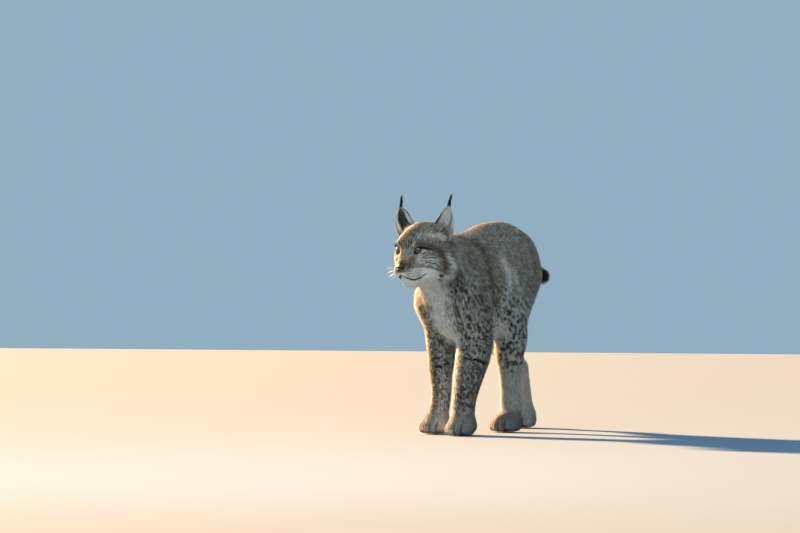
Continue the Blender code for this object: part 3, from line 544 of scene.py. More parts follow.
# ------------------------------------------------------------ mesh helpers
def make_object(name, mesh_or_bm):
    if isinstance(mesh_or_bm, bmesh.types.BMesh):
        mesh = bpy.data.meshes.new(name)
        mesh_or_bm.to_mesh(mesh)
        mesh_or_bm.free()
    else:
        mesh = mesh_or_bm
        mesh.name = name
    ob = bpy.data.objects.new(name, mesh)
    collection.objects.link(ob)
    return ob


def apply_modifiers(ob):
    bpy.context.view_layer.update()
    mesh = bpy.data.meshes.new_from_object(ob.evaluated_get(bpy.context.evaluated_depsgraph_get()))
    ob.modifiers.clear()
    old = ob.data
    ob.data = mesh
    bpy.data.meshes.remove(old)


def points_of(mesh):
    co = np.empty(len(mesh.vertices) * 3, np.float32)
    mesh.vertices.foreach_get("co", co)
    return co.reshape(-1, 3).astype(float)


def normals_of(mesh):
    co = np.empty(len(mesh.vertices) * 3, np.float32)
    mesh.vertices.foreach_get("normal", co)
    return co.reshape(-1, 3).astype(float)


def set_points(mesh, p):
    mesh.vertices.foreach_set("co", p.astype(np.float32).ravel())
    mesh.update()


def relax(mesh, p, rounds=1, share=0.5, where=None):
    """Evens out the mesh: each point moves towards the mean of its neighbours."""
    e = np.empty(len(mesh.edges) * 2, np.int32)
    mesh.edges.foreach_get("vertices", e)
    e = e.reshape(-1, 2)
    for _ in range(rounds):
        total, n = np.zeros_like(p), np.zeros(len(p))
        for i, j in ((0, 1), (1, 0)):
            for c in range(3):
                total[:, c] += np.bincount(e[:, i], weights=p[e[:, j], c], minlength=len(p))
            n += np.bincount(e[:, i], minlength=len(p))
        step = share * (total / np.maximum(n, 1)[:, None] - p)
        if where is not None:
            step *= where[:, None]
        p = p + step
    return p


def remesh(ob, size):
    mod = ob.modifiers.new("merge", "REMESH")
    mod.mode, mod.voxel_size, mod.adaptivity = "VOXEL", size, 0.0
    apply_modifiers(ob)


def refine(ob, wanted):
    """Halves the mesh's edges wherever wanted(points) is true, and draws the new points onto the skin."""
    bm = bmesh.new()
    bm.from_mesh(ob.data)
    centres = np.array([f.calc_center_median()[:] for f in bm.faces])
    chosen = wanted(centres)
    edges = {e for f, c in zip(bm.faces, chosen) if c for e in f.edges}
    bmesh.ops.subdivide_edges(bm, edges=list(edges), cuts=1, use_grid_fill=True)
    bmesh.ops.triangulate(bm, faces=[f for f in bm.faces if len(f.verts) > 4])
    bm.to_mesh(ob.data)
    bm.free()
    ob.data.update()
    p = points_of(ob.data)
    mask = wanted(p)
    index = np.nonzero(mask)[0]
    for share in (0.45, 0.30, 0.15):
        q = relax(ob.data, p, 1, share, mask.astype(float))
        q[index] = settle(q[index], skin_far, 2, 0.004)
        p = q
    p[index] = settle(p[index], skin_far, 2, 0.002)
    set_points(ob.data, p)


def make_skin():
    bm = bmesh.new()
    for m in ALL:
        m.rough(bm)
    bmesh.ops.recalc_face_normals(bm, faces=bm.faces)
    ob = make_object("skin", bm)
    remesh(ob, 0.0085)
    level = lambda q: skin_far(q)
    p = relax(ob.data, points_of(ob.data), 2)
    for _ in range(3):
        p = settle(p, level, 2)
        p = relax(ob.data, p, 1, 0.4)
    set_points(ob.data, settle(p, level, 2))
    remesh(ob, 0.0056)
    p = relax(ob.data, points_of(ob.data), 1)
    p = relax(ob.data, settle(p, level, 2), 1, 0.3)
    set_points(ob.data, settle(p, level, 2))

    def head_at(q):
        f, l, u = head_frame(q)
        return (f > -0.115) & (np.abs(l) < 0.10) & (u > -0.110) & (u < 0.08)

    def face_at(q):
        f, l, u = head_frame(q)
        x, y, w, r = eye_frame(f, l, u)
        return ((f > -0.035) & (u < 0.030) & (u > -0.104)) | (r < 0.032)

    def fine_at(q):
        f, l, u = head_frame(q)
        x, y, w, r = eye_frame(f, l, u)
        lip = np.abs(u - curve(LIP, np.clip(np.abs(l), 0, 0.05)))
        return ((r < 0.0225) & (w > -0.002) & (np.abs(x) < 0.020)) | ((lip < 0.0045) & (np.abs(l) < 0.05) & (f > -0.03)) \
            | ((np.abs(l) < 0.004) & (f > 0.02) & (u < -0.045) & (u > -0.075))

    def toes_at(q):
        hit = np.zeros(len(q), bool)
        for paw, turn in PAWS.values():
            t = math.radians(turn)
            r = q - paw
            ahead = r[:, 0] * math.sin(t) - r[:, 1] * math.cos(t)
            hit |= (ahead > 0.0) & ((r**2).sum(1) < 0.085**2) & (r[:, 2] < 0.05)
        return hit

    refine(ob, lambda q: head_at(q) | toes_at(q))
    refine(ob, face_at)
    refine(ob, fine_at)
    return ob


# ------------------------------------------------- lids, ears, eyes, nose, whiskers
def loft(bm, rings, closed_ends=True):
    """Joins rings of points by faces; a closed strip round each ring."""
    loops = [[bm.verts.new(q) for q in ring] for ring in rings]
    n = len(loops[0])
    for one, two in zip(loops, loops[1:]):
        for j in range(n):
            bm.faces.new((one[j], one[(j + 1) % n], two[(j + 1) % n], two[j]))
    if closed_ends:
        bm.faces.new(loops[0][::-1])
        bm.faces.new(loops[-1])
    return loops


def eye_point(s, x, y, lift):
    """A point over the eyeball of side s: x outward and y up across it, lift above its surface."""
    w = math.sqrt(max(EYE_RADIUS**2 - x * x - y * y, 1e-9))
    q = unit(EYE_GAZE * w + EYE_OUT * x + EYE_UP * y) * (EYE_RADIUS + lift)
    return head_point(-EYE_BACK + q[0], s * (EYE_SIDE + q[1]), q[2])


def lid_ring(s):
    """The rims of both lids: a soft roll lofted round the almond of the open eye."""
    bm, around, across = bmesh.new(), 96, 14
    edge = []
    for i in range(around):
        a = 2 * math.pi * i / around
        x = EYE_WIDE * math.cos(a) * (1.0 + (0.05 if math.cos(a) < 0 else 0.0))
        high = LID_HIGH if math.sin(a) > 0 else LID_LOW
        y = 0.0012 * math.cos(a) + high * math.copysign(abs(math.sin(a)) ** 1.25, math.sin(a))
        y -= 0.0016 * max(0.0, -math.cos(a)) ** 6
        edge.append((x, y))
    rings = []
    for i, (x, y) in enumerate(edge):
        (x0, y0), (x1, y1) = edge[i - 1], edge[(i + 1) % around]
        out = unit((y1 - y0, x0 - x1))
        upper = 0.5 + 0.5 * math.tanh(y / 0.003)
        ring = []
        for j in range(across):
            b = 2 * math.pi * j / across
            reach = 0.0020 - 0.0021 * math.cos(b) + 0.0006 * upper
            lift = 0.0003 + (0.0015 + 0.0005 * upper) * max(math.sin(b), -0.7) - 0.0002 * math.cos(b)
            if math.cos(b) < 0:
                lift -= 0.0006 * math.cos(b) ** 2
            ring.append(eye_point(s, x + out[0] * reach, y + out[1] * reach, lift))
        rings.append(ring)
    loops = loft(bm, rings, closed_ends=False)
    for j in range(across):
        bm.faces.new((loops[-1][j], loops[-1][(j + 1) % across], loops[0][(j + 1) % across], loops[0][j]))
    bmesh.ops.recalc_face_normals(bm, faces=bm.faces)
    return make_object("lid_left" if s > 0 else "lid_right", bm)


EAR_INNER, EAR_OUTER = v3(-0.084, 0.026, 0.044), v3(-0.098, 0.078, 0.008)
EAR_TIP, EAR_TUFT = v3(-0.102, 0.0915, 0.117), v3(-0.113, 0.092, 0.148)
EAR_BACK = unit((-0.80, -0.52, 0.30))          # the way the cup is hollowed


def ear_sheet(t, w, s):
    """The middle of the ear's shell: t from root to tip, w from its inner to its outer edge (head coordinates).

    The right ear is swung a little further out."""
    turned = v3(0.005, 0.006, 0.0) if s < 0 else v3(0, 0, 0)
    a = EAR_INNER + (EAR_TIP - EAR_INNER) * t + v3(0, -0.004, 0.002) * math.sin(math.pi * t) + (v3(0.002, -0.005, 0.005) if s < 0 else v3(0, 0, 0)) * (1 - t)
    b = EAR_OUTER + (EAR_TIP - EAR_OUTER) * t + (v3(0, 0.020, 0.004) + turned) * math.sin(math.pi * t**0.8)
    spread = (0.5 - 0.5 * math.cos(math.pi * w)) * rise(t, 0.3, 0.7) + w * (1 - rise(t, 0.3, 0.7))
    cup = 0.021 * (1 - t) ** 0.8
    return a + (b - a) * spread + EAR_BACK * cup * max(math.sin(math.pi * w), 0) ** 0.8


def ear_shell(s):
    """A thin cupped shell, thinner towards its edges, rooted inside the head."""
    bm, rings, across, steps = bmesh.new(), [], 25, 34
    for i in range(steps):
        t = min(0.995, i / (steps - 1))
        front, rear = [], []
        for j in range(across):
            w = j / (across - 1)
            c = ear_sheet(t, w, s)
            thick = (0.0011 + 0.0010 * (1 - t)) * (0.55 + 0.45 * math.sin(math.pi * w))
            front.append(c - EAR_BACK * thick)
            rear.append(c + EAR_BACK * thick)
        ring = front + rear[::-1]
        rings.append([head_point(q[0], s * q[1], q[2]) for q in ring])
    loft(bm, rings)
    bmesh.ops.recalc_face_normals(bm, faces=bm.faces)
    return make_object("ear_left_skin" if s > 0 else "ear_right_skin", bm)


def shade_smooth(ob):
    ob.data.polygons.foreach_set("use_smooth", np.ones(len(ob.data.polygons), bool))
    ob.data.update()


def eyeball(s):
    """The eye, with the cornea a little raised, built along Z and set to look along the gaze."""
    bm = bmesh.new()
    bmesh.ops.create_uvsphere(bm, u_segments=64, v_segments=48, radius=EYE_RADIUS - 0.0003)
    for v in bm.verts:
        r = math.hypot(v.co.x, v.co.y)
        if v.co.z > 0:
            v.co.z += 0.0008 * max(0.0, 1 - (r / 0.0098) ** 2) ** 1.5
    ob = make_object("eyeball_left" if s > 0 else "eyeball_right", bm)
    g = EYE_GAZE[0] * HEAD_F + s * EYE_GAZE[1] * HEAD_L + EYE_GAZE[2] * HEAD_U
    o = EYE_OUT[0] * HEAD_F + s * EYE_OUT[1] * HEAD_L + EYE_OUT[2] * HEAD_U
    c = head_point(-EYE_BACK, s * EYE_SIDE, 0)
    u = np.cross(g, o)
    ob.matrix_world = Matrix([[o[i], u[i], g[i], c[i]] for i in range(3)] + [[0, 0, 0, 1]])
    shade_smooth(ob)
    return ob


NOSE = (0.0360, 0, -0.0425)


def nose_pad():
    """The nose leather: a broad pad with two comma nostrils and a groove down to the lip."""
    bm = bmesh.new()
    bmesh.ops.create_icosphere(bm, subdivisions=6, radius=1.0)
    p = np.array([v.co[:] for v in bm.verts])
    f, l, u = p.T
    wide = 0.0168 * (0.62 + 0.38 * rise(u, -1.0, 0.35)) * (1 - 0.16 * rise(u, 0.3, 1.0))
    q = np.stack((f * 0.0100, l * wide, u * 0.0128), axis=1)
    q[:, 0] -= 0.0030 * rise(u, 0.2, 1.0) + 0.0035 * np.abs(l) ** 2.2
    s = np.abs(q[:, 1])
    front = rise(f, -0.1, 0.3)
    hole = np.sqrt(((s - 0.0066) / 0.0030) ** 2 + ((q[:, 2] + 0.0005) / 0.0023) ** 2)
    slit = np.sqrt(((s - 0.0104) / 0.0034) ** 2 + ((q[:, 2] + 0.0022 + 0.35 * (s - 0.0104)) / 0.0011) ** 2)
    push = 0.0052 * np.exp(-hole**2.6) + 0.0030 * np.exp(-slit**2) * (1 - np.exp(-hole**2.6))
    push += 0.0013 * np.exp(-(q[:, 1] / 0.0009) ** 2) * (1 - rise(q[:, 2], -0.001, 0.004))
    push -= 0.0011 * np.exp(-((hole - 1.7) / 0.5) ** 2)
    q[:, 0] -= push * front
    q += 0.00016 * noise(q, 0.0011, 3)[:, None] * p
    for v, c in zip(bm.verts, q):
        v.co = head_point(NOSE[0] + c[0], c[1], NOSE[2] + c[2])
    ob = make_object("nose_leather", bm)
    shade_smooth(ob)
    return ob


def tube(bm, path, radii, sides=5):
    path = np.asarray(path, float)
    rings = []
    for i, c in enumerate(path):
        d = unit(path[min(i + 1, len(path) - 1)] - path[max(i - 1, 0)])
        a = unit(np.cross(d, (0.3, 0.2, 1.0)))
        b = np.cross(d, a)
        rings.append([c + radii[i] * (a * math.cos(t) + b * math.sin(t)) for t in (2 * math.pi * j / sides for j in range(sides))])
    loft(bm, rings)


def whiskers():
    """Whiskers from four rows on each pad, and a few over each eye."""
    rng = np.random.default_rng(5)
    bm = bmesh.new()
    for s in (LEFT, RIGHT):
        for row, (u0, count) in enumerate(((-0.0490, 3), (-0.0555, 4), (-0.0620, 4), (-0.0685, 3))):
            for k in range(count):
                t = (k + 0.5) / count
                f0, l0 = 0.036 - 0.026 * t, 0.0225 + 0.0165 * t
                root = head_point(f0, s * l0, u0)[None]
                root = settle(root, skin_far, 6, 0.01)[0]
                long = (0.040 + 0.030 * t + 0.006 * rng.random()) * (1.0 if row < 3 else 0.8)
                d0 = unit((0.10 - 0.30 * t, 0.80, 0.10 - 0.14 * row))
                d1 = unit((-0.55 - 0.45 * t, 0.70, -0.35 - 0.16 * row))
                path, c, n = [], root - 0.002 * from_head(np.array([[d0[0], s * d0[1], d0[2]]]))[0], 9
                for i in range(n):
                    m = i / (n - 1)
                    d = unit(d0 * (1 - m) + d1 * m)
                    path.append(c)
                    c = c + from_head(np.array([[d[0], s * d[1], d[2]]]))[0] * long / (n - 1)
                tube(bm, path, [0.00016 * (1 - m / (n - 1)) + 0.00004 for m in range(n)])
        for k in range(3):
            root = settle(head_point(0.004 - 0.004 * k, s * (0.026 + 0.005 * k), 0.019)[None], skin_far, 6, 0.01)[0]
            path, c, n = [], root, 7
            for i in range(n):
                m = i / (n - 1)
                d = unit((0.35 - 0.75 * m, 0.35 + 0.08 * k, 0.85 - 0.25 * m))
                path.append(c)
                c = c + from_head(np.array([[d[0], s * d[1], d[2]]]))[0] * (0.030 + 0.003 * k) / (n - 1)
            tube(bm, path, [0.00013 * (1 - m / (n - 1)) + 0.00004 for m in range(n)])
    bmesh.ops.recalc_face_normals(bm, faces=bm.faces)
    ob = make_object("whiskers", bm)
    shade_smooth(ob)
    return ob


# ------------------------------------------------------------- the markings
def mm(*rows):
    return np.array(rows, float) / 1000


# lines of the face, in head coordinates (forward, outward, up), the same on both sides: (points in mm, half width in mm, strength)
FACE_DARK = (
    (mm((19, 28, -20), (12, 28, -14), (4, 28, -9), (-2, 27, 1), (0, 34, 10), (-1, 45, 11), (-7, 51, 6)), 2.2, 1.0),
    (mm((-7, 51, 6), (-17, 58, 3), (-28, 63, 0), (-34, 67, -2)), 3.2, 1.0),
    (mm((-34, 67, -2), (-41, 73, -11), (-50, 80, -19)), 2.2, 0.9),
    (mm((4, 28, -9), (7, 34, -14), (2, 42, -12), (-4, 49, -4)), 1.6, 1.0),
    (mm((8, 44, -21), (-2, 52, -15), (-11, 57, -9)), 1.2, 0.85),
    (mm((-5, 56, -23), (-15, 62, -25), (-25, 69, -24), (-35, 75, -28), (-42, 80, -38)), 1.5, 1.0),
    (mm((-7, 56, -38), (-15, 62, -36), (-26, 70, -42), (-33, 75, -44), (-45, 82, -59)), 1.5, 1.0),
    (mm((-15, 59, -51), (-24, 67, -49), (-33, 74, -57), (-42, 79, -67)), 1.4, 0.9),
    (mm((-8, 56, -30), (-18, 64, -31), (-30, 71, -35), (-38, 77, -40)), 1.1, 0.85),
    (mm((0, 50, -22), (-9, 57, -18), (-20, 63, -14), (-28, 67, -15)), 1.1, 0.8),
    (mm((-12, 60, -19), (-22, 66, -19), (-32, 71, -17), (-42, 77, -26)), 1.1, 0.75),
    (mm((-14, 58, -45), (-24, 67, -43), (-34, 75, -51), (-41, 80, -58)), 1.1, 0.85),
    (mm((-22, 64, -57), (-31, 72, -60), (-39, 77, -68), (-46, 80, -78)), 1.3, 0.8),
    (mm((2, 49, -30), (-5, 54, -30)), 1.2, 0.6),
    (mm((0, 50, -38), (-7, 56, -44), (-14, 59, -52)), 1.0, 0.5),
    (mm((-46, 80, -34), (-54, 85, -44), (-60, 88, -58)), 2.0, 0.8),
    (mm((-50, 80, -22), (-60, 85, -30), (-68, 89, -44)), 2.0, 0.7),
    (mm((-50, 83, -62), (-58, 86, -74), (-66, 84, -88)), 2.0, 0.8),
    (mm((-45, 81, -68), (-54, 83, -78), (-66, 83, -89)), 2.3, 0.9),
    (mm((-46, 83, -60), (-52, 83, -74), (-55, 80, -88)), 3.2, 0.8),
    (mm((-50, 79, -86), (-58, 77, -94), (-66, 68, -108), (-74, 56, -116)), 6.5, 1.0),
    (mm((-57, 84, -52), (-66, 86, -66), (-78, 84, -80)), 1.8, 0.55),
    (mm((38, 0, -68), (35, 8, -71), (25, 18, -80), (16, 25, -83), (2, 34, -81), (-6, 38, -79)), 3.4, 1.0),
    (mm((4, 33, -80), (-2, 37, -79), (-9, 41, -77), (-15, 47, -72)), 2.8, 1.0),
    (mm((41, 9, -56), (40, 14, -55), (37, 19, -51)), 1.7, 0.85),
    (mm((38, 0, -67), (41, 0, -55)), 0.9, 0.8),
    (mm((12, 6, 10), (8, 7, 24), (3, 7, 37), (-10, 7, 50), (-28, 7, 59)), 1.5, 0.95),
    (mm((11, 13, 10), (6, 15, 26), (-1, 14, 39), (-20, 14, 54), (-38, 14, 61)), 1.6, 1.0),
    (mm((5, 20, 19), (-3, 22, 34), (-16, 23, 47), (-34, 22, 57)), 1.6, 0.95),
    (mm((0, 30, 27), (-12, 32, 40), (-28, 32, 52)), 1.5, 0.8),
    (mm((13, 1, 12), (8, 1, 26), (2, 1, 38)), 1.2, 0.7),
    (mm((-4, 37, 26), (-16, 40, 36), (-30, 42, 44)), 1.4, 0.6),
)
FACE_PALE = (
    (mm((14, 24, -12), (3, 22, 2), (3, 27, 14), (0, 32, 28)), 2.4, 1.0),
    (mm((8, 34, -17), (2, 42, -16), (-4, 49, -9), (-10, 54, -3), (-15, 58, -3)), 1.7, 1.0),
    (mm((-6, 54, -27), (-20, 66, -29), (-34, 75, -34)), 2.4, 0.85),
    (mm((-8, 56, -44), (-20, 66, -44), (-34, 76, -54)), 3.0, 0.85),
    (mm((0, 48, -26), (-20, 64, -32), (-38, 76, -46)), 15.0, 0.52),
    (mm((-50, 56, 42), (-68, 66, 36), (-86, 74, 24)), 9.0, 0.8),
    (mm((-22, 40, 42), (-40, 54, 43), (-62, 60, 46)), 12.0, 0.28),
    (mm((20, 0, -8), (12, 0, 8)), 2.0, 0.3),
)
FACE_WARM = (
    (mm((12, 30, -20), (22, 27, -29), (31, 26, -39)), 8.0, 1.0),
    (mm((41, 0, -28), (38, 10, -30), (33, 20, -38)), 9.0, 1.0),
    (mm((-2, 46, 20), (-20, 58, 13), (-45, 72, 4), (-62, 80, -6)), 10.0, 0.95),
    (mm((-62, 82, -6), (-72, 87, -35), (-68, 88, -62)), 11.0, 0.85),
    (mm((-10, 10, 50), (-40, 12, 62), (-80, 14, 74)), 14.0, 0.25),
    (mm((6, 40, -24), (4, 42, -36)), 5.0, 0.25),
)
FACE_SHADE = (
    (mm((-4, 46, 19), (-20, 58, 12), (-45, 72, 4), (-62, 80, -6)), 9.0, 0.50),
    (mm((-60, 82, -6), (-70, 87, -35), (-66, 88, -62), (-60, 84, -84), (-60, 76, -102)), 10.0, 0.66),
    (mm((38, 0, -26), (34, 12, -30), (28, 24, -38)), 7.0, 0.45),
    (mm((-62, 64, -108), (-84, 52, -112)), 8.0, 0.6),
)
PAD_ROWS = (mm((40, 26, -48), (28, 34, -48), (10, 42, -49), (-2, 47, -51)), mm((39, 27, -56), (30, 35, -56), (14, 41, -57), (3, 43, -59)),
            mm((42, 21, -64), (34, 30, -64), (17, 38, -64), (2, 41, -65)), mm((36, 22, -71), (26, 30, -73), (11, 36, -72), (1, 39, -71)))
# bars of the legs, in the animal's axes
LEG_DARK = (
    (mm((58, -246, 226), (68, -249, 225), (82, -247, 223)), 3.2, 1.0),
    (mm((90, -241, 222), (102, -230, 218), (110, -212, 208)), 4.4, 1.0),
    (mm((-67, -184, 198), (-58, -184, 200), (-49, -180, 199)), 4.6, 1.0),
    (mm((-41, -171, 203), (-33, -158, 207)), 3.4, 0.7),
    (mm((-94, -176, 214), (-106, -160, 208), (-112, -140, 200)), 4.2, 0.9),
    (mm((60, 30, 205), (72, 34, 201), (84, 44, 199)), 3.4, 0.7),
    (mm((66, 38, 182), (78, 46, 178)), 3.0, 0.6),
    (mm((-62, 236, 262), (-76, 252, 262), (-86, 268, 266)), 3.4, 0.6),
    (mm((40, -214, 300), (40, -196, 306)), 3.0, 0.5),
)
# a dark brown band behind the shoulder: partly the coat's own colour, partly painted shade where the shoulder shades
# the trunk
BODY_DARK_AND_SHADE = (
    (mm((16, -196, 588), (50, -172, 572), (78, -158, 542), (94, -154, 500), (101, -144, 454), (102, -134, 410), (108, -150, 366)), 17.0, 1.0),
)
BODY_PALE = (
    (mm((56, -305, 556), (64, -296, 541), (68, -278, 506), (79, -261, 468), (91, -270, 425)), 10.0, 0.45),
    (mm((70, -250, 520), (90, -244, 470)), 8.0, 0.3),
    (mm((90, -36, 505), (97, -14, 470), (101, -20, 425), (100, -52, 385), (96, -80, 345)), 24.0, 0.85),
    (mm((98, 20, 480), (104, 36, 440), (108, 38, 400)), 17.0, 0.62),
    (mm((104, -130, 342), (96, -90, 330), (84, -56, 318), (80, 2, 291)), 22.0, 0.95),
    (mm((0, -320, 392), (6, -284, 337), (2, -238, 293), (10, -200, 280)), 18.0, 0.70),
    (mm((70, -250, 500), (84, -244, 455), (92, -235, 420)), 13.0, 0.40),
)


def drape(table, on_head):
    """The same lines with more points, drawn onto the coat's outline."""
    out = []
    for line, half, strength in table:
        fine = np.concatenate([a + (b - a) * np.array([[0], [1 / 3], [2 / 3]]) for a, b in zip(line, line[1:])] + [line[-1:]])
        p = v3(*EYE_MID) + from_head(fine) if on_head else fine
        p = settle(p, body, 4, 0.006)
        out.append((np.stack(head_frame(p), axis=1) if on_head else p, half, strength))
    return out


def from_line(q, line):
    """Distance of points from a line of straight lengths."""
    best = np.full(len(q), 1.0)
    for a, b in zip(line, line[1:]):
        e = b - a
        t = np.clip(((q - a) @ e) / (e @ e), 0, 1)
        best = np.minimum(best, np.linalg.norm(q - a - t[:, None] * e, axis=1))
    return best


def lines(q, table, soft=0.5):
    out = np.zeros(len(q))
    for line, half, strength in table:
        reach = half * (1 + soft) / 1000 + 0.001
        low, high = line.min(0) - reach, line.max(0) + reach
        near = np.nonzero(((q > low) & (q < high)).all(1))[0]
        if len(near):
            d = from_line(q[near], line) * 1000
            out[near] = np.maximum(out[near], strength * (1 - rise(d, half * (1 - soft), half * (1 + soft))))
    return out


def spot_style(o):
    """Spacing, radius and strength of the spots, by region."""
    x, y, z = o.T
    fore = rise(-y, 0.10, 0.17)
    shoulder = fore * hump(z, 0.20, 0.26, 0.42, 0.52)
    foreleg = fore * (1 - rise(z, 0.20, 0.27))
    hind = (1 - fore)
    thigh = hind * hump(z, 0.15, 0.21, 0.38, 0.48)
    foot = hind * (1 - rise(z, 0.15, 0.21))
    space = 0.0165 - 0.0040 * shoulder - 0.0058 * foreleg + 0.0010 * thigh - 0.0050 * foot
    size = 0.0042 - 0.0003 * shoulder - 0.0013 * foreleg + 0.0014 * thigh - 0.0016 * foot
    strength = 0.50 + 0.60 * shoulder + 0.60 * foreleg + 0.60 * thigh - 0.30 * foot
    strength -= 0.10 * rise(z, 0.50, 0.60)
    strength *= (1 - 0.85 * (1 - rise(z, 0.045, 0.070))) * (1 - 0.9 * hind * (1 - rise(z, 0.135, 0.165)))
    return space, size, strength


def scatter_spots(o, flow_at):
    """Spot centres, thinned so that they keep their spacing."""
    rng = np.random.default_rng(11)
    space, size, strength = spot_style(o)
    cell, grid, kept = 0.022, {}, []
    for i in range(len(o)):
        key = tuple(int(c // cell) for c in o[i])
        hit = False
        for a in (-1, 0, 1):
            for b in (-1, 0, 1):
                for c in (-1, 0, 1):
                    for j in grid.get((key[0] + a, key[1] + b, key[2] + c), ()):
                        r = o[i] - o[j]
                        if r @ r < (space[i] * (0.86 + 0.14 * ((i * 7) % 5) / 4)) ** 2:
                            hit = True
                            break
                    if hit:
                        break
                if hit:
                    break
            if hit:
                break
        if not hit:
            grid.setdefault(key, []).append(i)
            kept.append(i)
    kept = np.array(kept)
    return {"at": o[kept], "dir": flow_at[kept], "size": size[kept] * rng.uniform(0.65, 1.25, len(kept)),
            "long": rng.uniform(1.1, 2.0, len(kept)), "strength": np.clip(strength[kept] * rng.uniform(0.72, 1.15, len(kept)), 0, 1)}


def make_dots():
    """The dots from which the whiskers grow, in head coordinates."""
    out = []
    for row in PAD_ROWS:
        ends = np.linspace(0, len(row) - 1, 6)
        for e in ends:
            i = min(int(e), len(row) - 2)
            out.append(row[i] + (row[i + 1] - row[i]) * (e - i))
    return np.array(out)


FACE_DARK, FACE_PALE, FACE_WARM, FACE_SHADE = [drape(t, True) for t in (FACE_DARK, FACE_PALE, FACE_WARM, FACE_SHADE)]
LEG_DARK, BODY_DARK_AND_SHADE, BODY_PALE = drape(LEG_DARK, False), drape(BODY_DARK_AND_SHADE, False), drape(BODY_PALE, False)
PAD_ROWS = [row for row, _, _ in drape([(row, 0, 0) for row in PAD_ROWS], True)]
DOTS = make_dots()
SPOTS, SPOT_TREE = {}, None


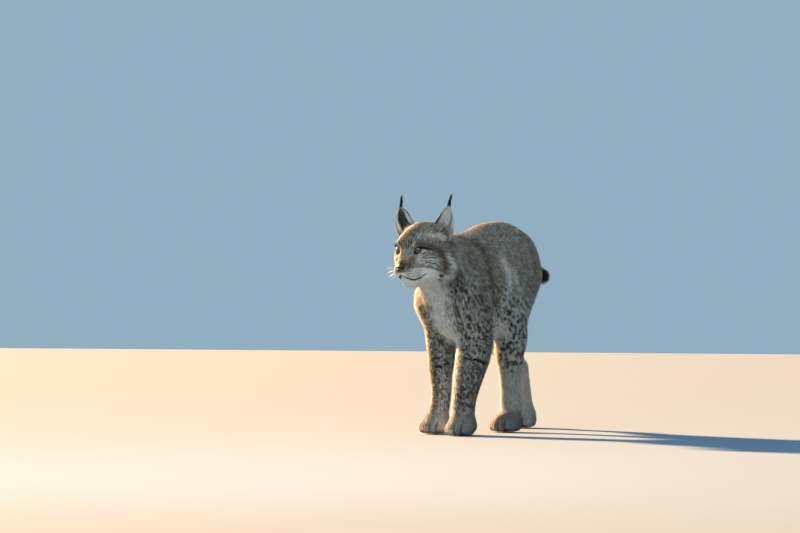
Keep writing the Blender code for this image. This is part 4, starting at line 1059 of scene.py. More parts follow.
def markings(o, n):
    """Pale, spot, warm and dark shares of the coat's colour, at points of the outline with skin normals n."""
    x, y, z = o.T
    f, l, u = head_frame(o)
    s = np.abs(l)
    wob = np.stack([noise(o, 0.012, k) for k in (1, 2, 3)], axis=1) * 0.0012
    q = np.stack((f, s, u), axis=1) + wob
    r = np.sqrt((f + 0.045) ** 2 + l**2 + (u + 0.015) ** 2)
    head = 1 - rise(r, 0.118, 0.140)

    # head
    edge = curve(((0.0, -0.0480), (0.045, -0.0500), (0.055, -0.0540), (0.066, -0.0575), (0.076, -0.0680), (0.084, -0.0860), (0.095, -0.105)), s)
    pale_h = rise(edge - u, -0.003, 0.003) * (1 - rise(-f, 0.078, 0.092) * rise(s, 0.060, 0.070))
    pale_h *= 1 - 0.75 * rise(f, 0.024, 0.034) * rise(u, -0.062, -0.054)
    pale_h *= 1 - 0.75 * rise(-f, 0.048, 0.066) * rise(u, -0.098, -0.080)
    scallop = 0.007 * np.sin(u / 0.0022)
    tips = hump(-f + scallop, 0.086, 0.096, 0.110, 0.122) * rise(s, 0.056, 0.070) * hump(u, -0.112, -0.100, -0.034, -0.020)
    pale_h = np.maximum(pale_h, 0.85 * tips)
    pale_h = np.maximum(pale_h, lines(q, FACE_PALE))
    broken = 0.45 + 0.55 * rise(noise(q * v3(0.7, 1.0, 1.0), 0.0050, 51), -0.25, 0.30)
    dark_h = np.maximum(lines(q, FACE_DARK, 0.35), lines(q, FACE_SHADE, 0.8) * broken)
    speck = rise(noise(q * v3(0.55, 1.1, 0.8), 0.0042, 52), 0.10, 0.40)
    dark_h = np.maximum(dark_h, 0.42 * speck * rise(u, 0.0, 0.015))
    dark_h = np.maximum(dark_h, 0.45 * speck * rise(-f, 0.030, 0.050) * rise(u, -0.095, -0.070) * (1 - tips))
    dash = 0.60 + 0.40 * rise(noise(o, 0.007, 5), -0.45, 0.0)
    fore = rise(u, 0.006, 0.012)
    dark_h *= 1 - fore * (1 - dash)
    near = np.nonzero((f > -0.02) & (u < -0.04) & (u > -0.08) & (head > 0))[0]
    if len(near):
        d = np.full(len(near), 1.0)
        for dot in DOTS:
            d = np.minimum(d, np.linalg.norm(q[near] - dot, axis=1))
        dark_h[near] = np.maximum(dark_h[near], 1 - rise(d, 0.0016, 0.0027))
    pad = np.sqrt(((f - 0.036) / 0.0110) ** 2 + (l / 0.0160) ** 2 + ((u + 0.0425) / 0.0130) ** 2)
    dark_h = np.maximum(dark_h, 0.9 * (1 - rise(pad, 1.00, 1.22)))
    pale_h *= 1 - 0.9 * (1 - rise(pad, 1.15, 1.55))
    ex, ey, ew, er = eye_frame(f, l, u)
    open_eye = almond(ex, ey)
    rim = (1 - rise(open_eye, 0.0022, 0.0046)) * (ew > 0) * (er < EYE_RADIUS + 0.016)
    dark_h = np.maximum(dark_h, rim)
    warm_h = np.maximum(lines(q, FACE_WARM, 0.6), 0.8 * (1 - rise(pad, 1.15, 1.55)))

    # body
    side = np.tanh(x / 0.012)
    inward = rise(-n[:, 0] * side, 0.0, 0.6) * (1 - rise(z, 0.34, 0.42))
    belly = rise(-n[:, 2], 0.05, 0.6) * (1 - rise(z, 0.40, 0.46)) * (z > 0.2)
    ragged = np.abs(x) + 0.012 * noise(o, 0.014, 61) + 0.006 * noise(o, 0.006, 62)
    breast = (1 - rise(ragged, 0.012, 0.060)) * rise(-n[:, 1], 0.0, 0.45) * rise(-y, 0.13, 0.19) * rise(z, 0.20, 0.25)
    belly *= 1 - rise(-y, 0.15, 0.20) * rise(ragged, 0.014, 0.062)
    throat = (1 - rise(ragged, 0.034, 0.074)) * rise(-y, 0.28, 0.31) * rise(-n[:, 2] - 0.4 * n[:, 1], 0.0, 0.5) * (1 - rise(z, 0.46, 0.50))
    flank = (1 - rise(z, 0.33, 0.45)) * hump(y, -0.10, -0.04, 0.04, 0.12) * rise(z, 0.24, 0.28)
    paw = 1 - rise(z, 0.05, 0.09)
    inward *= 1 + 0.3 * rise(y, 0.1, 0.2)
    pale_b = np.maximum.reduce([0.62 * inward, 0.9 * belly, 0.95 * breast, 0.9 * throat, 0.60 * flank, 0.20 * paw])
    thigh = rise(y, -0.06, 0.0) * hump(z, 0.04, 0.08, 0.36, 0.44)
    pale_b = np.maximum(pale_b, 0.60 * thigh)
    pale_b = np.maximum(pale_b, 0.34 * rise(-y, 0.11, 0.17) * hump(z, 0.14, 0.24, 0.38, 0.50))
    neckband = hump(-y, 0.235, 0.265, 0.305, 0.34) * rise(z, 0.46, 0.52) * (1 - rise(z, 0.585, 0.60))
    pale_b = np.maximum(pale_b, 0.22 * neckband)
    across = np.stack((np.abs(x), y, z), axis=1) + wob * 3
    cloudy = 0.72 + 0.28 * rise(noise(o, 0.016, 53), -0.3, 0.3)
    pale_b = np.maximum(pale_b, lines(across, BODY_PALE, 0.75) * cloudy)
    rear = rise(y, 0.20, 0.30) * rise(z, 0.30, 0.40) * rise(n[:, 1], 0.2, 0.8)
    pale_b = np.maximum(pale_b, 0.35 * rear)
    spine = rise(n[:, 2], 0.45, 0.92) * rise(z, 0.50, 0.56) * (y > -0.30)
    warm_b = 0.45 * spine
    # behind the shoulder: a warm band and a flecked dark brown band, partly the coat's own colour, partly painted shade
    # cast by the shoulder on the trunk
    behind = np.exp(-(((y + 0.150) / 0.045) ** 2)) * hump(z, 0.36, 0.43, 0.53, 0.60)
    shade = lines(across, BODY_DARK_AND_SHADE, 0.8)
    warm_b = np.maximum.reduce([warm_b, 0.35 * behind, shade])
    warm_b = np.maximum(warm_b, 0.22 * (1 - rise(z, 0.10, 0.20)) * rise(y, -0.02, 0.03))
    dark_b = lines(o + wob, LEG_DARK, 0.35)
    dark_b = np.maximum(dark_b, 0.50 * shade * (0.55 + 0.45 * rise(noise(o, 0.007, 54), -0.2, 0.3)))
    # rear band of the metatarsus
    dark_b = np.maximum(dark_b, 0.35 * hump(z, 0.03, 0.06, 0.14, 0.19) * rise(n[:, 1], 0.35, 0.8) * rise(y, -0.02, 0.02))
    # painted shade in the folds between the toes: dark lines along the toe grooves of each paw
    for pawc, turn in PAWS.values():
        t = math.radians(turn)
        c = o - pawc
        across, ahead = c[:, 0] * math.cos(t) + c[:, 1] * math.sin(t), c[:, 0] * math.sin(t) - c[:, 1] * math.cos(t)
        fold = sum(np.exp(-(((across - g * (1 - 0.35 * rise(-ahead, -0.045, 0.0))) / 0.0024) ** 2)) for g in (-0.0205, 0.0, 0.0205))
        dark_b = np.maximum(dark_b, 0.55 * fold * rise(ahead, 0.012, 0.030) * (1 - rise(z, 0.028, 0.042)) * ((c**2).sum(1) < 0.085**2))
    tail = rise(y, 0.268, 0.282) * hump(z, 0.38, 0.42, 0.560, 0.575)
    black_tail = rise(y, 0.318, 0.330) * hump(z, 0.38, 0.42, 0.53, 0.56)

    spot = np.zeros(len(o))
    if SPOT_TREE is not None:
        w = o + np.stack([noise(o, 0.009, k) for k in (7, 8, 9)], axis=1) * 0.0016
        found = np.array([SPOT_TREE.find(Vector(c))[1] for c in w])
        r0 = w - SPOTS["at"][found]
        along = (r0 * SPOTS["dir"][found]).sum(1)
        across = np.sqrt(np.maximum((r0**2).sum(1) - along**2, 0))
        d = np.sqrt((along / SPOTS["long"][found]) ** 2 + across**2) / SPOTS["size"][found]
        spot = SPOTS["strength"][found] * (1 - rise(d, 0.66, 1.08))
        # small broken flecks between the spots
        fleck = rise(noise(w * v3(1.25, 1.25, 0.8), 0.0062, 31), 0.10, 0.40)
        fore = rise(-y, 0.10, 0.16)
        wavy = rise(noise(w * v3(1, 1, 1.8), 0.0088, 41), 0.20, 0.30) * fore * hump(z, 0.16, 0.22, 0.42, 0.54)
        dense = rise(noise(w * v3(1, 1, 1.35), 0.0062, 42), 0.18, 0.29) * fore * hump(z, 0.060, 0.085, 0.19, 0.24)
        rows = rise(noise(w * v3(1, 1, 1.5), 0.0108, 43), 0.26, 0.36) * (1 - fore) * hump(z, 0.17, 0.21, 0.36, 0.44)
        legs = (1 - rise(z, 0.40, 0.56)) * rise(z, 0.05, 0.09)
        hind = rise(y, -0.08, 0.0)
        spot = np.maximum.reduce([spot, fleck * (0.26 + 0.34 * legs * (1 - 0.75 * hind)), 0.92 * wavy, 0.85 * dense, 0.9 * rows])
        spot *= (1 - 0.8 * head) * (1 - 0.60 * breast) * (1 - black_tail) * (1 - 0.6 * shade)
        spot *= (1 - 0.35 * rear) * (1 - 0.7 * rise(pale_b, 0.60, 0.90))
    frost = rise(noise(o, 0.0070, 33), 0.15, 0.45)
    pale_b = np.maximum(pale_b, 0.30 * frost * rise(z, 0.05, 0.10))
    pale = pale_h * head + pale_b * (1 - head)
    warm = warm_h * head + warm_b * (1 - head)
    dark = dark_h * head + dark_b * (1 - head)
    dark = np.maximum(dark, black_tail)
    pale *= 1 - 0.9 * black_tail
    return np.clip(np.stack((pale, spot, warm, dark), axis=1), 0, 1)


# ------------------------------------------------------------- the lie of the coat
GROUPS = list(MASSES)


def group_weights(p, soft=0.014):
    far = np.stack([body(p, MASSES[g]) for g in GROUPS], axis=1)
    w = np.exp(-(far - far.min(1, keepdims=True)) / soft)
    return w / w.sum(1, keepdims=True)


def flow(p, n, w):
    """The way the hair lies: a unit direction along the skin at each point."""
    x, y, z = p.T
    f, l, u = head_frame(p)
    side, out = np.tanh(x / 0.015), np.sign(l)
    rump = rise(y, 0.12, 0.26)
    breast = rise(-y, 0.19, 0.27) * (1 - rise(z, 0.47, 0.56))
    steep = 1 - rise(n[:, 2], 0.25, 0.9)
    down = 0.10 + 0.38 * steep + 0.95 * rump + 1.3 * breast
    zero = np.zeros_like(x)
    total = np.zeros_like(p)
    ways = {"trunk": np.stack((0.10 * side * (1 - rump), 1 - 0.50 * rump - 0.95 * breast, -down), axis=1)}
    t = rise(y, 0.26, 0.34)
    ways["tail"] = np.stack((0.03 + 0.10 * t, 0.70 + 0.20 * t, -0.72 + 0.38 * t), axis=1)
    q = units(np.stack((f - 0.050, l, u + 0.048), axis=1))
    cheek = rise(-f, -0.010, 0.045) * rise(np.abs(l), 0.030, 0.058) * (1 - rise(u, -0.015, 0.030))
    crown = rise(u, 0.036, 0.060)
    chin = 1 - rise(u, -0.095, -0.078)
    q = q + cheek[:, None] * np.stack((zero - 0.25, 0.25 * out, zero - 0.60), axis=1)
    q = q + crown[:, None] * v3(-0.8, 0, -0.1) + chin[:, None] * v3(-0.6, 0, -0.15)
    ways["head"] = from_head(q)
    for g in ("left_fore", "right_fore", "left_hind", "right_hind"):
        leg = np.stack((zero, zero + 0.16, zero - 1.0), axis=1)
        turn = math.radians(PAWS[g][1])
        toes = np.stack((zero + 0.9 * math.sin(turn), zero - 0.9 * math.cos(turn), zero - 0.42), axis=1)
        low = (1 - rise(z, 0.045, 0.085))[:, None]
        ways[g] = leg * (1 - low) + toes * low
    for i, g in enumerate(GROUPS):
        total += w[:, i:i + 1] * units(ways[g])
    total -= (total * n).sum(1, keepdims=True) * n
    total = units(total)
    a = (noise(p, 0.045, 21) * 0.20 + noise(p, 0.014, 22) * 0.16)[:, None]
    return units(total * np.cos(a) + np.cross(n, total) * np.sin(a))


# ------------------------------------------------------------- the coat
def triangles_of(mesh):
    mesh.calc_loop_triangles()
    t = np.empty(len(mesh.loop_triangles) * 3, np.int32)
    mesh.loop_triangles.foreach_get("vertices", t)
    return t.reshape(-1, 3)


def trim(p):
    """Shortens the hair round the eyes, the nose and the lips."""
    f, l, u = head_frame(p)
    ex, ey, ew, er = eye_frame(f, l, u)
    eye = np.where((er < EYE_RADIUS + 0.020) & (ew > 0), almond(ex, ey), 0.02)
    pad = np.sqrt(((f - NOSE[0]) / 0.0101) ** 2 + (l / 0.0140) ** 2 + ((u - NOSE[2]) / 0.0108) ** 2) - 1
    lip = np.abs(u - curve(LIP, np.clip(np.abs(l), 0, 0.05)))
    lip = np.where((np.abs(l) < 0.047) & (f > -0.03), lip, 0.02)
    out = (0.30 + 0.70 * rise(eye, 0.001, 0.010)) * (0.35 + 0.65 * rise(pad, 0.0, 0.9)) * (0.55 + 0.45 * rise(lip, 0.001, 0.006))
    bare = ((eye < 0.0026) & (er < EYE_RADIUS + 0.012)) | (pad < 0.02) | ((lip < 0.0008) & (np.abs(l) < 0.040))
    return out, bare


def style(p, n):
    """How the coat grows at points of the skin: room to the outline, lie, length, width, tufts per square metre, long locks."""
    x, y, z = p.T
    f, l, u = head_frame(p)
    r = np.sqrt((f + 0.045) ** 2 + l**2 + (u + 0.015) ** 2)
    head = 1 - rise(r, 0.105, 0.140)
    room = coat_depth(p)
    leg = 1 - rise(z, 0.20, 0.34)
    low = rise(-n[:, 2], 0.0, 0.7) * hump(y, -0.17, -0.10, 0.30, 0.40) * rise(z, 0.22, 0.26)
    lie = 28.0 - 3.0 * leg + 5.0 * low
    ruff = rise(-f, 0.035, 0.070) * rise(np.abs(l), 0.038, 0.062) * (1 - rise(u, -0.030, 0.005))
    lie = lie + (15.5 + 3.5 * rise(-f, 0.02, 0.08) + 9.0 * ruff - lie) * head
    short, bare = trim(p)
    length = room / np.sin(np.radians(lie)) * short
    length *= 1 + 0.25 * low * (1 - head) + 0.18 * ruff * head
    width = np.clip(0.068 * length, 0.00062, 0.00120)
    cover = 4.6 - 1.2 * leg - 0.6 * head + 1.6 * ruff * head
    density = cover / (length * width * 0.55)
    density *= ~bare
    density *= 1 - (z < 0.007) * (n[:, 2] < -0.35)
    locks = (head > 0.5) & (ruff > 0.4) | (low > 0.5) | (rise(-y, 0.22, 0.30) * rise(z, 0.28, 0.32) * (1 - head) > 0.5) & (n[:, 1] < 0.2) | (y > 0.270) & (z > 0.40)
    return room * short, np.radians(lie), length, width, density, locks


def sample(mesh, density_at, rng, most):
    """Roots spread over the mesh by area and density: positions, normals and the number of roots wanted."""
    p, n, tri = points_of(mesh), normals_of(mesh), triangles_of(mesh)
    a, b, c = p[tri[:, 0]], p[tri[:, 1]], p[tri[:, 2]]
    area = np.linalg.norm(np.cross(b - a, c - a), axis=1) / 2
    mid, mid_n = (a + b + c) / 3, units(n[tri].mean(1))
    share = area * density_at(mid, mid_n)
    total = share.sum()
    count = int(min(total, most))
    edges = np.cumsum(share) / total
    pick = np.searchsorted(edges, (np.arange(count) + rng.random(count)) / count * 0.999999)
    r1, r2 = np.sqrt(rng.random(count)), rng.random(count)
    w = np.stack((1 - r1, r1 * (1 - r2), r1 * r2), axis=1)[:, :, None]
    t = tri[pick]
    return (p[t] * w).sum(1), units((n[t] * w).sum(1)), total


def near_root(centres, p):
    tree = kdtree.KDTree(len(centres))
    for i, c in enumerate(centres):
        tree.insert(c, i)
    tree.balance()
    return np.array([tree.find(q)[1] for q in p])


def tufts(root, normal, way, lie, length, width, locks, marks, seeds, clump=None):
    """Corners, triangles and colours of the tufts.  A tuft is a thin blade with a ridge: broadest low down, bent over, ending in a point."""
    side = np.cross(normal, way)
    rng = np.random.default_rng(3)
    sway = rng.normal(0, 1, (len(root), 2))
    pull = np.zeros_like(root) if clump is None else clump

    def spine(t):
        rise_up = np.sin(lie) * (1.22 * t - 0.22 * t * t)
        q = root + way * (length * np.cos(lie) * t)[:, None] + normal * (length * rise_up - 0.0005)[:, None]
        q += side * (length * (0.03 * sway[:, 0] * t + 0.06 * sway[:, 1] * t * t))[:, None]
        return q + pull * (0.42 * t * t)

    def ring(t, share):
        a, b = spine(max(t - 0.05, 0)), spine(t + 0.05)
        d = units(b - a)
        s = units(np.cross(normal, d))
        up = np.cross(d, s)
        half = (width * 0.5 * share)[:, None]
        c = spine(t)
        return c + s * half, c - s * half, c + up * half * 0.55

    out = []
    for kind in (0, 1):
        keep = np.nonzero(locks == bool(kind))[0]
        if not len(keep):
            continue
        if kind == 0:
            l0, r0, m0 = ring(0.42, np.ones(len(root)))
            verts = np.stack((spine(0.0), l0, r0, m0, spine(1.0)), axis=1)[keep]
            faces = np.array(((0, 3, 1), (0, 2, 3), (1, 3, 4), (3, 2, 4)))
            level = np.array((0, 1, 1, 1, 2))
            along = np.array((0.0, 0.42, 0.42, 0.48, 1.0))
            patch = np.array(((0, 0), (-0.5, 0.42), (0.5, 0.42), (0, 0.46), (0, 1.0)))
        else:
            l0, r0, m0 = ring(0.30, np.ones(len(root)))
            l1, r1, m1 = ring(0.66, np.full(len(root), 0.72))
            verts = np.stack((spine(0.0), l0, r0, m0, l1, r1, m1, spine(1.0)), axis=1)[keep]
            faces = np.array(((0, 3, 1), (0, 2, 3), (1, 3, 6), (1, 6, 4), (3, 2, 5), (3, 5, 6), (4, 6, 7), (6, 5, 7)))
            level = np.array((0, 1, 1, 1, 2, 2, 2, 2))
            along = np.array((0.0, 0.30, 0.30, 0.36, 0.66, 0.66, 0.72, 1.0))
            patch = np.array(((0, 0), (-0.5, 0.30), (0.5, 0.30), (0, 0.34), (-0.36, 0.66), (0.36, 0.66), (0, 0.70), (0, 1.0)))
        out.append((keep, verts, faces, marks[keep][:, level], along, patch))
    return out


def build_coat(name, parts, seeds, where, material):
    """One coat piece from its tufts, with their colour shares and the OFBake map."""
    vs, fs, marks, strand, uvs, base = [], [], [], [], [], 0
    for keep, verts, faces, mark, along, patch in parts:
        n, k = verts.shape[:2]
        v = verts.reshape(-1, 3)
        v[:, 2] = np.maximum(v[:, 2], 0.0005)
        vs.append(v)
        fs.append(((np.arange(n) * k)[:, None, None] + faces[None] + base).reshape(-1, 3))
        marks.append(mark.reshape(-1, 4))
        s = seeds[keep]
        strand.append(np.stack((np.broadcast_to(along, (n, k)), np.repeat(s[:, :1], k, 1), np.repeat(s[:, 1:2], k, 1),
                                np.ones((n, k))), axis=2).reshape(-1, 4))
        uvs.append((where[keep][:, None] + patch[None] * 0.003).reshape(-1, 2))
        base += n * k
    v, f = np.concatenate(vs), np.concatenate(fs).astype(np.int32)
    mesh = bpy.data.meshes.new(name)
    mesh.vertices.add(len(v))
    mesh.vertices.foreach_set("co", (v + SHIFT).astype(np.float32).ravel())
    mesh.loops.add(len(f) * 3)
    mesh.loops.foreach_set("vertex_index", f.ravel())
    mesh.polygons.add(len(f))
    mesh.polygons.foreach_set("loop_start", np.arange(0, len(f) * 3, 3, dtype=np.int32))
    mesh.polygons.foreach_set("use_smooth", np.ones(len(f), bool))
    mesh.update(calc_edges=True)
    for title, values in (("marks", np.concatenate(marks)), ("strand", np.concatenate(strand))):
        layer = mesh.attributes.new(title, "FLOAT_COLOR", "POINT")
        layer.data.foreach_set("color", values.astype(np.float32).ravel())
    uv = mesh.uv_layers.new(name="OFBake")
    uv.data.foreach_set("uv", np.concatenate(uvs)[f.ravel()].astype(np.float32).ravel())
    mesh.materials.append(material)
    ob = bpy.data.objects.new(name, mesh)
    collection.objects.link(ob)
    return ob


# an unwrap of the skin's own shape for each region of the coat
LEG_AXES = {
    "left_fore": ((0.0, 0.062, -0.262), (0.11, 0.066, -0.250), (0.30, 0.076, -0.170), (0.42, 0.066, -0.19)),
    "right_fore": ((0.0, -0.062, -0.178), (0.11, -0.062, -0.156), (0.30, -0.076, -0.125), (0.42, -0.066, -0.18)),
    "left_hind": ((0.0, 0.056, 0.052), (0.17, 0.053, 0.080), (0.345, 0.068, 0.060), (0.50, 0.05, 0.14)),
    "right_hind": ((0.0, -0.056, 0.390), (0.19, -0.050, 0.355), (0.320, -0.062, 0.180), (0.50, -0.05, 0.17)),
}


def unwrap(region, p):
    """Where each root lies on its region's unwrap: round and along the region's own axis."""
    x, y, z = p.T
    leg = region.replace("thigh", "hind")
    if leg in LEG_AXES:
        rows = LEG_AXES[leg]
        cx = np.interp(z, [r[0] for r in rows], [r[1] for r in rows])
        cy = np.interp(z, [r[0] for r in rows], [r[2] for r in rows])
        ang = np.arctan2(x - cx, y - cy)
        r = np.hypot(x - cx, y - cy)
        along = z - 0.5 * r * (1 - rise(z, 0.04, 0.10))
        a = ang / (2 * math.pi) + 0.5
        b = (along - 0.22) / 0.34 if region.endswith("thigh") else (along + 0.05) / (0.34 if region.endswith("hind") else 0.50)
    elif region in ("face", "head"):
        f, l, u = head_frame(p)
        d = units(np.stack((f + 0.050, l, u + 0.020), axis=1))
        pole = d[:, 0] if region == "face" else -d[:, 0]
        theta = np.arccos(np.clip(pole, -1, 1)) / math.radians(125)
        phi = np.arctan2(d[:, 2], d[:, 1])
        a, b = 0.5 + 0.48 * theta * np.cos(phi), 0.5 + 0.48 * theta * np.sin(phi)
    elif region == "tail":
        ang = np.arctan2(x - 0.008, z - (0.50 - (y - 0.30) * 0.5))
        a, b = ang / (2 * math.pi) + 0.5, (y - 0.24) / 0.18
    elif region == "neck":
        cz = 0.45 + (-y - 0.15) * 0.25
        ang = np.arctan2(x, z - cz)
        a, b = ang / (2 * math.pi) + 0.5, (-y - 0.10) / 0.32
    else:
        cz = curve(Barrel.WIDEST, y)
        ang = np.arctan2(z - cz, np.abs(x))
        a, b = ang / math.pi + 0.5, (y + 0.28) / 0.62
        if region.endswith("rear"):
            b = (y - 0.04) / 0.28
        else:
            b = (y + 0.22) / 0.29
    return np.clip(np.stack((a, b), axis=1), 0.003, 0.994)


def regions_of(p, w):
    """The coat piece each root belongs to."""
    x, y, z = p.T
    f, l, u = head_frame(p)
    top = w.argmax(1)
    name = np.array(GROUPS, dtype=object)[top]
    r = np.sqrt((f + 0.045) ** 2 + l**2 + (u + 0.015) ** 2)
    is_head = (name == "head") & (r < 0.125)
    name[(name == "head") & ~is_head] = "neck"
    name[is_head] = np.where(f[is_head] > -0.036, "face", "head")
    is_trunk = name == "trunk"
    name[is_trunk & (y < -0.175)] = "neck"
    for s, side in ((1, "left"), (-1, "right")):
        hit = is_trunk & (y >= -0.175) & (x * s >= 0)
        name[hit & (y < 0.055)] = "flank_%s_front" % side
        name[hit & (y >= 0.055)] = "flank_%s_rear" % side
    for side in ("left", "right"):
        name[(name == side + "_hind") & (z > 0.24)] = side + "_thigh"
    return name


def grow_coat(skin, material, budget):
    """The whole coat but for the ears."""
    global SPOT_TREE
    rng = np.random.default_rng(7)

    def on_ear(p):
        return body(p) + coat_depth(p) > 0.0011

    def density_at(p, n):
        d = style(p, n)[4]
        return np.where(on_ear(p) & (p[:, 2] > 0.50), 0.0, d)

    # the spots first: centres on the outline over the skin
    sp, sn, _ = sample(skin.data, lambda p, n: np.full(len(p), 40000.0) * ~(on_ear(p) & (p[:, 2] > 0.5)), rng, 26000)
    order = rng.permutation(len(sp))
    sp, sn = sp[order], sn[order]
    outer = sp + sn * coat_depth(sp)[:, None]
    found = scatter_spots(outer, flow(sp, sn, group_weights(sp)))
    SPOTS.update(found)
    SPOT_TREE = kdtree.KDTree(len(found["at"]))
    for i, c in enumerate(found["at"]):
        SPOT_TREE.insert(c, i)
    SPOT_TREE.balance()

    root, normal, wanted = sample(skin.data, density_at, rng, 1000000)
    room, lie, length, width, density, locks = style(root, normal)
    size = 4 + 4 * locks
    share = budget / size.sum()
    if share < 1:
        keep = rng.random(len(root)) < share
        root, normal, room, lie, length, width, locks = (a[keep] for a in (root, normal, room, lie, length, width, locks))
    print("tufts", len(root), "share", round(share, 3), "spots", len(found["at"]))
    w = group_weights(root)
    way = flow(root, normal, w)
    region = regions_of(root, w)
    n = len(root)
    # locks: neighbouring tufts draw together
    centres = rng.choice(n, n // 9, replace=False)
    own = near_root(root[centres], root)
    lock_seed = rng.random(len(centres))[own]
    draw = root[centres][own] - root
    draw -= (draw * normal).sum(1, keepdims=True) * normal
    reach = np.linalg.norm(draw, axis=1)
    draw *= np.minimum(1, 0.35 * length / np.maximum(reach, 1e-6))[:, None]
    length = length * rng.uniform(0.70, 1.06, n) * (0.92 + 0.16 * lock_seed)
    wild = rng.random(n) < 0.05
    lie = lie * rng.uniform(0.80, 1.15, n) * np.where(wild, 1.35, 1.0)
    turn = rng.normal(0, 0.13, n)[:, None]
    way = units(way * np.cos(turn) + np.cross(normal, way) * np.sin(turn))
    seeds = np.stack((0.45 * lock_seed + 0.55 * rng.random(n), rng.random(n)), axis=1)
    out = root + normal * room[:, None]
    reach = (length * np.cos(lie))[:, None]
    mark_mid = markings(out + way * reach * 0.52, normal)
    mark_tip = markings(out + way * reach * 0.88, normal)
    marks = np.stack((mark_mid, mark_mid, mark_tip), axis=1)
    pieces = []
    for name in sorted(set(region)):
        idx = np.nonzero(region == name)[0]
        parts = tufts(root[idx], normal[idx], way[idx], lie[idx], length[idx], width[idx], locks[idx], marks[idx], seeds[idx], draw[idx])
        where = unwrap(name, root[idx])
        pieces.append(build_coat("coat_" + name, parts, seeds[idx], where, material))
        print(name, len(idx), len(pieces[-1].data.polygons))
    return pieces


